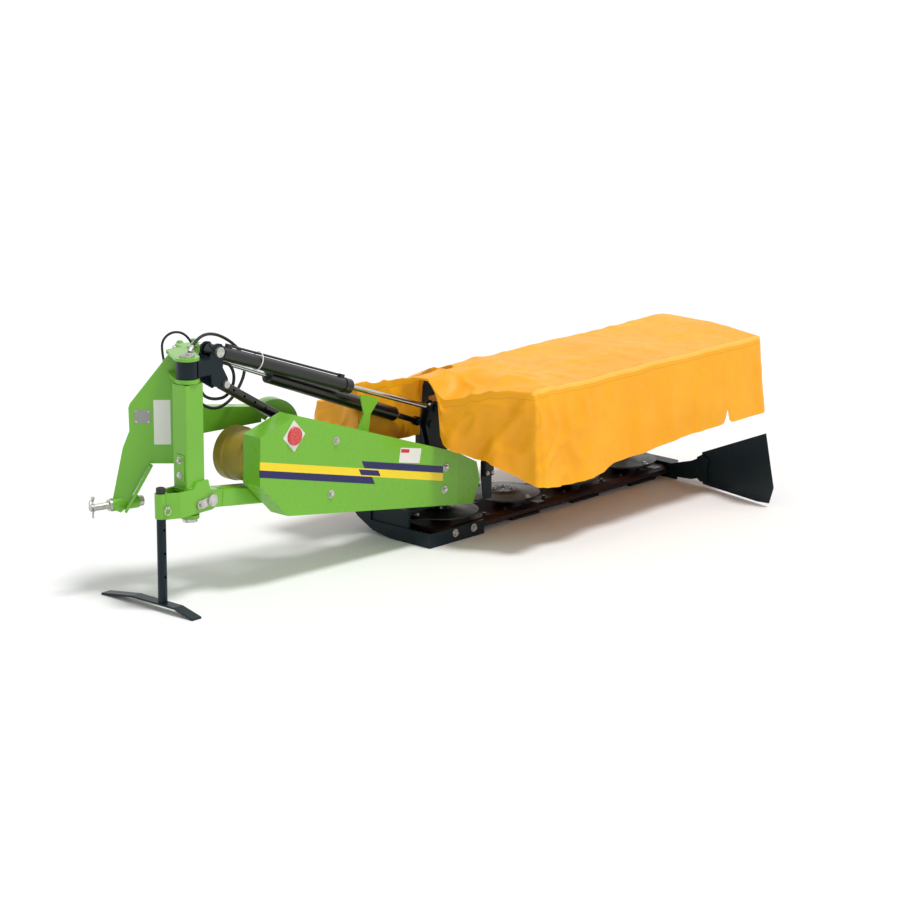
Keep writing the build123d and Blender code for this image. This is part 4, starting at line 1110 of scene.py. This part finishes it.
thin_plate("mast_plate", at(mast_left, mast_middle, 569), (0, -1, 0), upright, (46, 108), "swing_frame",
           green, 5, 5)
for k, z in enumerate([600, 538]):
    place = at(mast_left - 5, mast_middle, z)
    put_screw(f"mast_plate_screw_{k}", place, (-1, 0, 0), 10, "swing_frame", 0.4 * k)
print("pieces with plates", len(made_pieces))

# %% [markdown]
# Rings finish many places on such a machine: the wipers where a rod leaves its barrel, the crimped sleeves
# on the hoses, a tie round the lift barrel. A ring is a torus, squeezed to its section and stood on its
# axis.

# %% Rings on the struts


def ring(name, centre, direction, radius, thick, body, finish, squeeze=(1, 1, 1), turn=0.0):
    """A ring round a direction, its section's radius thick and then squeezed along its own axes."""
    bare()
    bpy.ops.mesh.primitive_torus_add(major_radius=radius / 1000, minor_radius=thick / 1000, major_segments=40,
                                     minor_segments=12)
    piece = current(name)
    piece.data.transform(Matrix.Diagonal((*squeeze, 1)))
    piece.data.transform(facing(centre, direction, turn))
    smooth(piece, 60)
    return settle(piece, body, finish)


def on_line(start, end, distance, y):
    """A point on a strut's line, that many millimetres from its first pin."""
    length = math.hypot(end[0] - start[0], end[1] - start[1])
    share = distance / length
    return at(start[0] + (end[0] - start[0]) * share, y, start[1] + (end[1] - start[1]) * share)


def way_of(ends):
    """The direction from a strut's first pin to its last."""
    (first_x, first_z), (last_x, last_z) = ends
    return (last_x - first_x, 0, last_z - first_z)


# The (x, z) of each strut's two pins, and its y.
struts = {
    "lift": (((285, 1018), (1560, 557)), -8), "float": (((290, 985), (1530, 495)), 56),
    "stay": (((320, 880), (1150, 385)), 0),
}
# Name, strut, distance from its first pin, radius, thickness, stretch along the strut, body, slot, finish.
strut_rings = [
    ("lift_wiper", "lift", 821, 14.5, 2.6, 1.0, "lift_barrel", "black_rubber", rubber),
    ("lift_gland", "lift", 815, 29.5, 2.4, 1.0, "lift_barrel", "black_paint", black),
    ("lift_foot_weld", "lift", 51, 24.5, 3.0, 1.0, "lift_barrel", "black_paint", black),
    ("float_wiper", "float", 385, 12.5, 2.6, 1.0, "float_can", "black_rubber", rubber),
    ("float_seam", "float", 1179, 29.6, 1.8, 1.0, "float_can", "black_paint", black),
    ("stay_collar", "stay", 596, 21.8, 2.2, 1.6, "stay_tube", "black_paint", black),
]
for name, strut, distance, radius, thick, stretch, body, slot, finish in strut_rings:
    ends, y = struts[strut]
    place = on_line(*ends, distance, y)
    ring(name, place, way_of(ends), radius, thick, body, finish, (1, 1, stretch))

# %% [markdown]
# The tie is a band looped loosely round the barrel and the hose on top of it, so it is a ring that stands a
# little high. The crimps are short sleeves of three beads where a hose meets its fitting.

# %% The tie, the crimps and the linch pin
lift_ends, lift_y = struts["lift"]
tie_up = Vector((461, 0, 1275)).normalized() * 0.0065
tie_place = on_line(*lift_ends, 262, lift_y) + tie_up
ring("barrel_tie", tie_place, way_of(lift_ends), 34.5, 1.5, "lift_barrel", white,
     (0.9, 1.1, 2.0), math.radians(90))
for node, radius in (("hose_over", 6.2), ("hose_inner", 6.2), ("hose_left", 4.7)):
    points = [Vector(p) for p in hose_points[node]]
    body = hose_facts[node][0]
    for side, (here, there) in enumerate(((points[0], points[1]), (points[-1], points[-2]))):
        way = (there - here).normalized()
        for k in range(3):
            place = here + way * (2 + 4.5 * k)
            name = f"{node}_crimp_{side}_{k}"
            ring(name, at(*place), way, radius, 1.9, body, zinc, (1, 1, 1.15))
tip_x = -305.0
pin_way = (0.966, -0.259, 0.15)
ring("linch_ring", headstock_place(tip_x - 4, 255, 384), pin_way, 24, 2.2, "headstock", zinc)
bare()
bpy.ops.mesh.primitive_cylinder_add(vertices=20, radius=0.0045, depth=0.074, location=(0, 0, 0))
linch = current("linch_pin")
bpy.ops.object.mode_set(mode="EDIT")
pick(linch, "FACE", lambda face: face.normal.z > 0.9)
bpy.ops.mesh.inset(thickness=0.0002)
bpy.ops.mesh.extrude_region_move(TRANSFORM_OT_translate={"value": (0, 0, 0.005)})
bpy.ops.transform.resize(value=(1.9, 1.9, 1))
bpy.ops.mesh.extrude_region_move(TRANSFORM_OT_translate={"value": (0, 0, 0.009)})
bpy.ops.mesh.bevel(offset=0.0012, segments=3)
bpy.ops.object.mode_set(mode="OBJECT")
linch.data.transform(Matrix.Translation(headstock_place(tip_x, 255, 372)))
smooth(linch, 40)
settle(linch, "headstock", zinc)
print("pieces with rings", len(made_pieces))

# %% [markdown]
# A weld is a low bead of overlapping ripples. Each bead is a tube along a few points, whose thickness
# swells and shrinks every few millimetres, painted like the plates that it joins.

# %% Weld beads
bead_radius = 0.0034
ripple = 0.0016


def weld(name, *points):
    """A bead on the swing frame along points in millimetres, with tapered ends."""
    line = [at(*point) for point in points]
    bead = bmesh.new()
    rings = []
    travelled = 0.0
    for a, b in zip(line, line[1:]):
        way = (b - a).normalized()
        side = way.orthogonal().normalized()
        other = way.cross(side)
        count = max(2, round((b - a).length / ripple))
        for k in range(count + 1):
            spot = a.lerp(b, k / count)
            swell = bead_radius * (1 + 0.2 * math.sin((travelled + k * ripple) / 0.0011))
            if (a is line[0] and k == 0) or (b is line[-1] and k == count):
                swell *= 0.3
            rings.append([bead.verts.new(spot + (side * math.cos(t) + other * math.sin(t)) * swell)
                          for t in (math.tau * n / 8 for n in range(8))])
        travelled += (b - a).length
    for low, high in zip(rings, rings[1:]):
        for n in range(8):
            bead.faces.new([low[n], low[(n + 1) % 8], high[(n + 1) % 8], high[n]])
    bead.faces.new(reversed(rings[0]))
    bead.faces.new(rings[-1])
    mesh = bpy.data.meshes.new(name)
    bead.to_mesh(mesh)
    bead.free()
    piece = bpy.data.objects.new(name, mesh)
    bpy.context.scene.collection.objects.link(piece)
    smooth(piece, 60)
    return settle(piece, "swing_frame", green)


weld("mast_foot_weld", (mast_left, -34, 482), (mast_left, 34, 482))
weld("mast_foot_weld_rear", (112, -40, 484), (198, -40, 484))
weld("mast_head_weld", (mast_left, -32, 905), (mast_left, 32, 905))
print("pieces in all", len(made_pieces))

# %% The screw model is removed
bpy.data.objects.remove(screw)
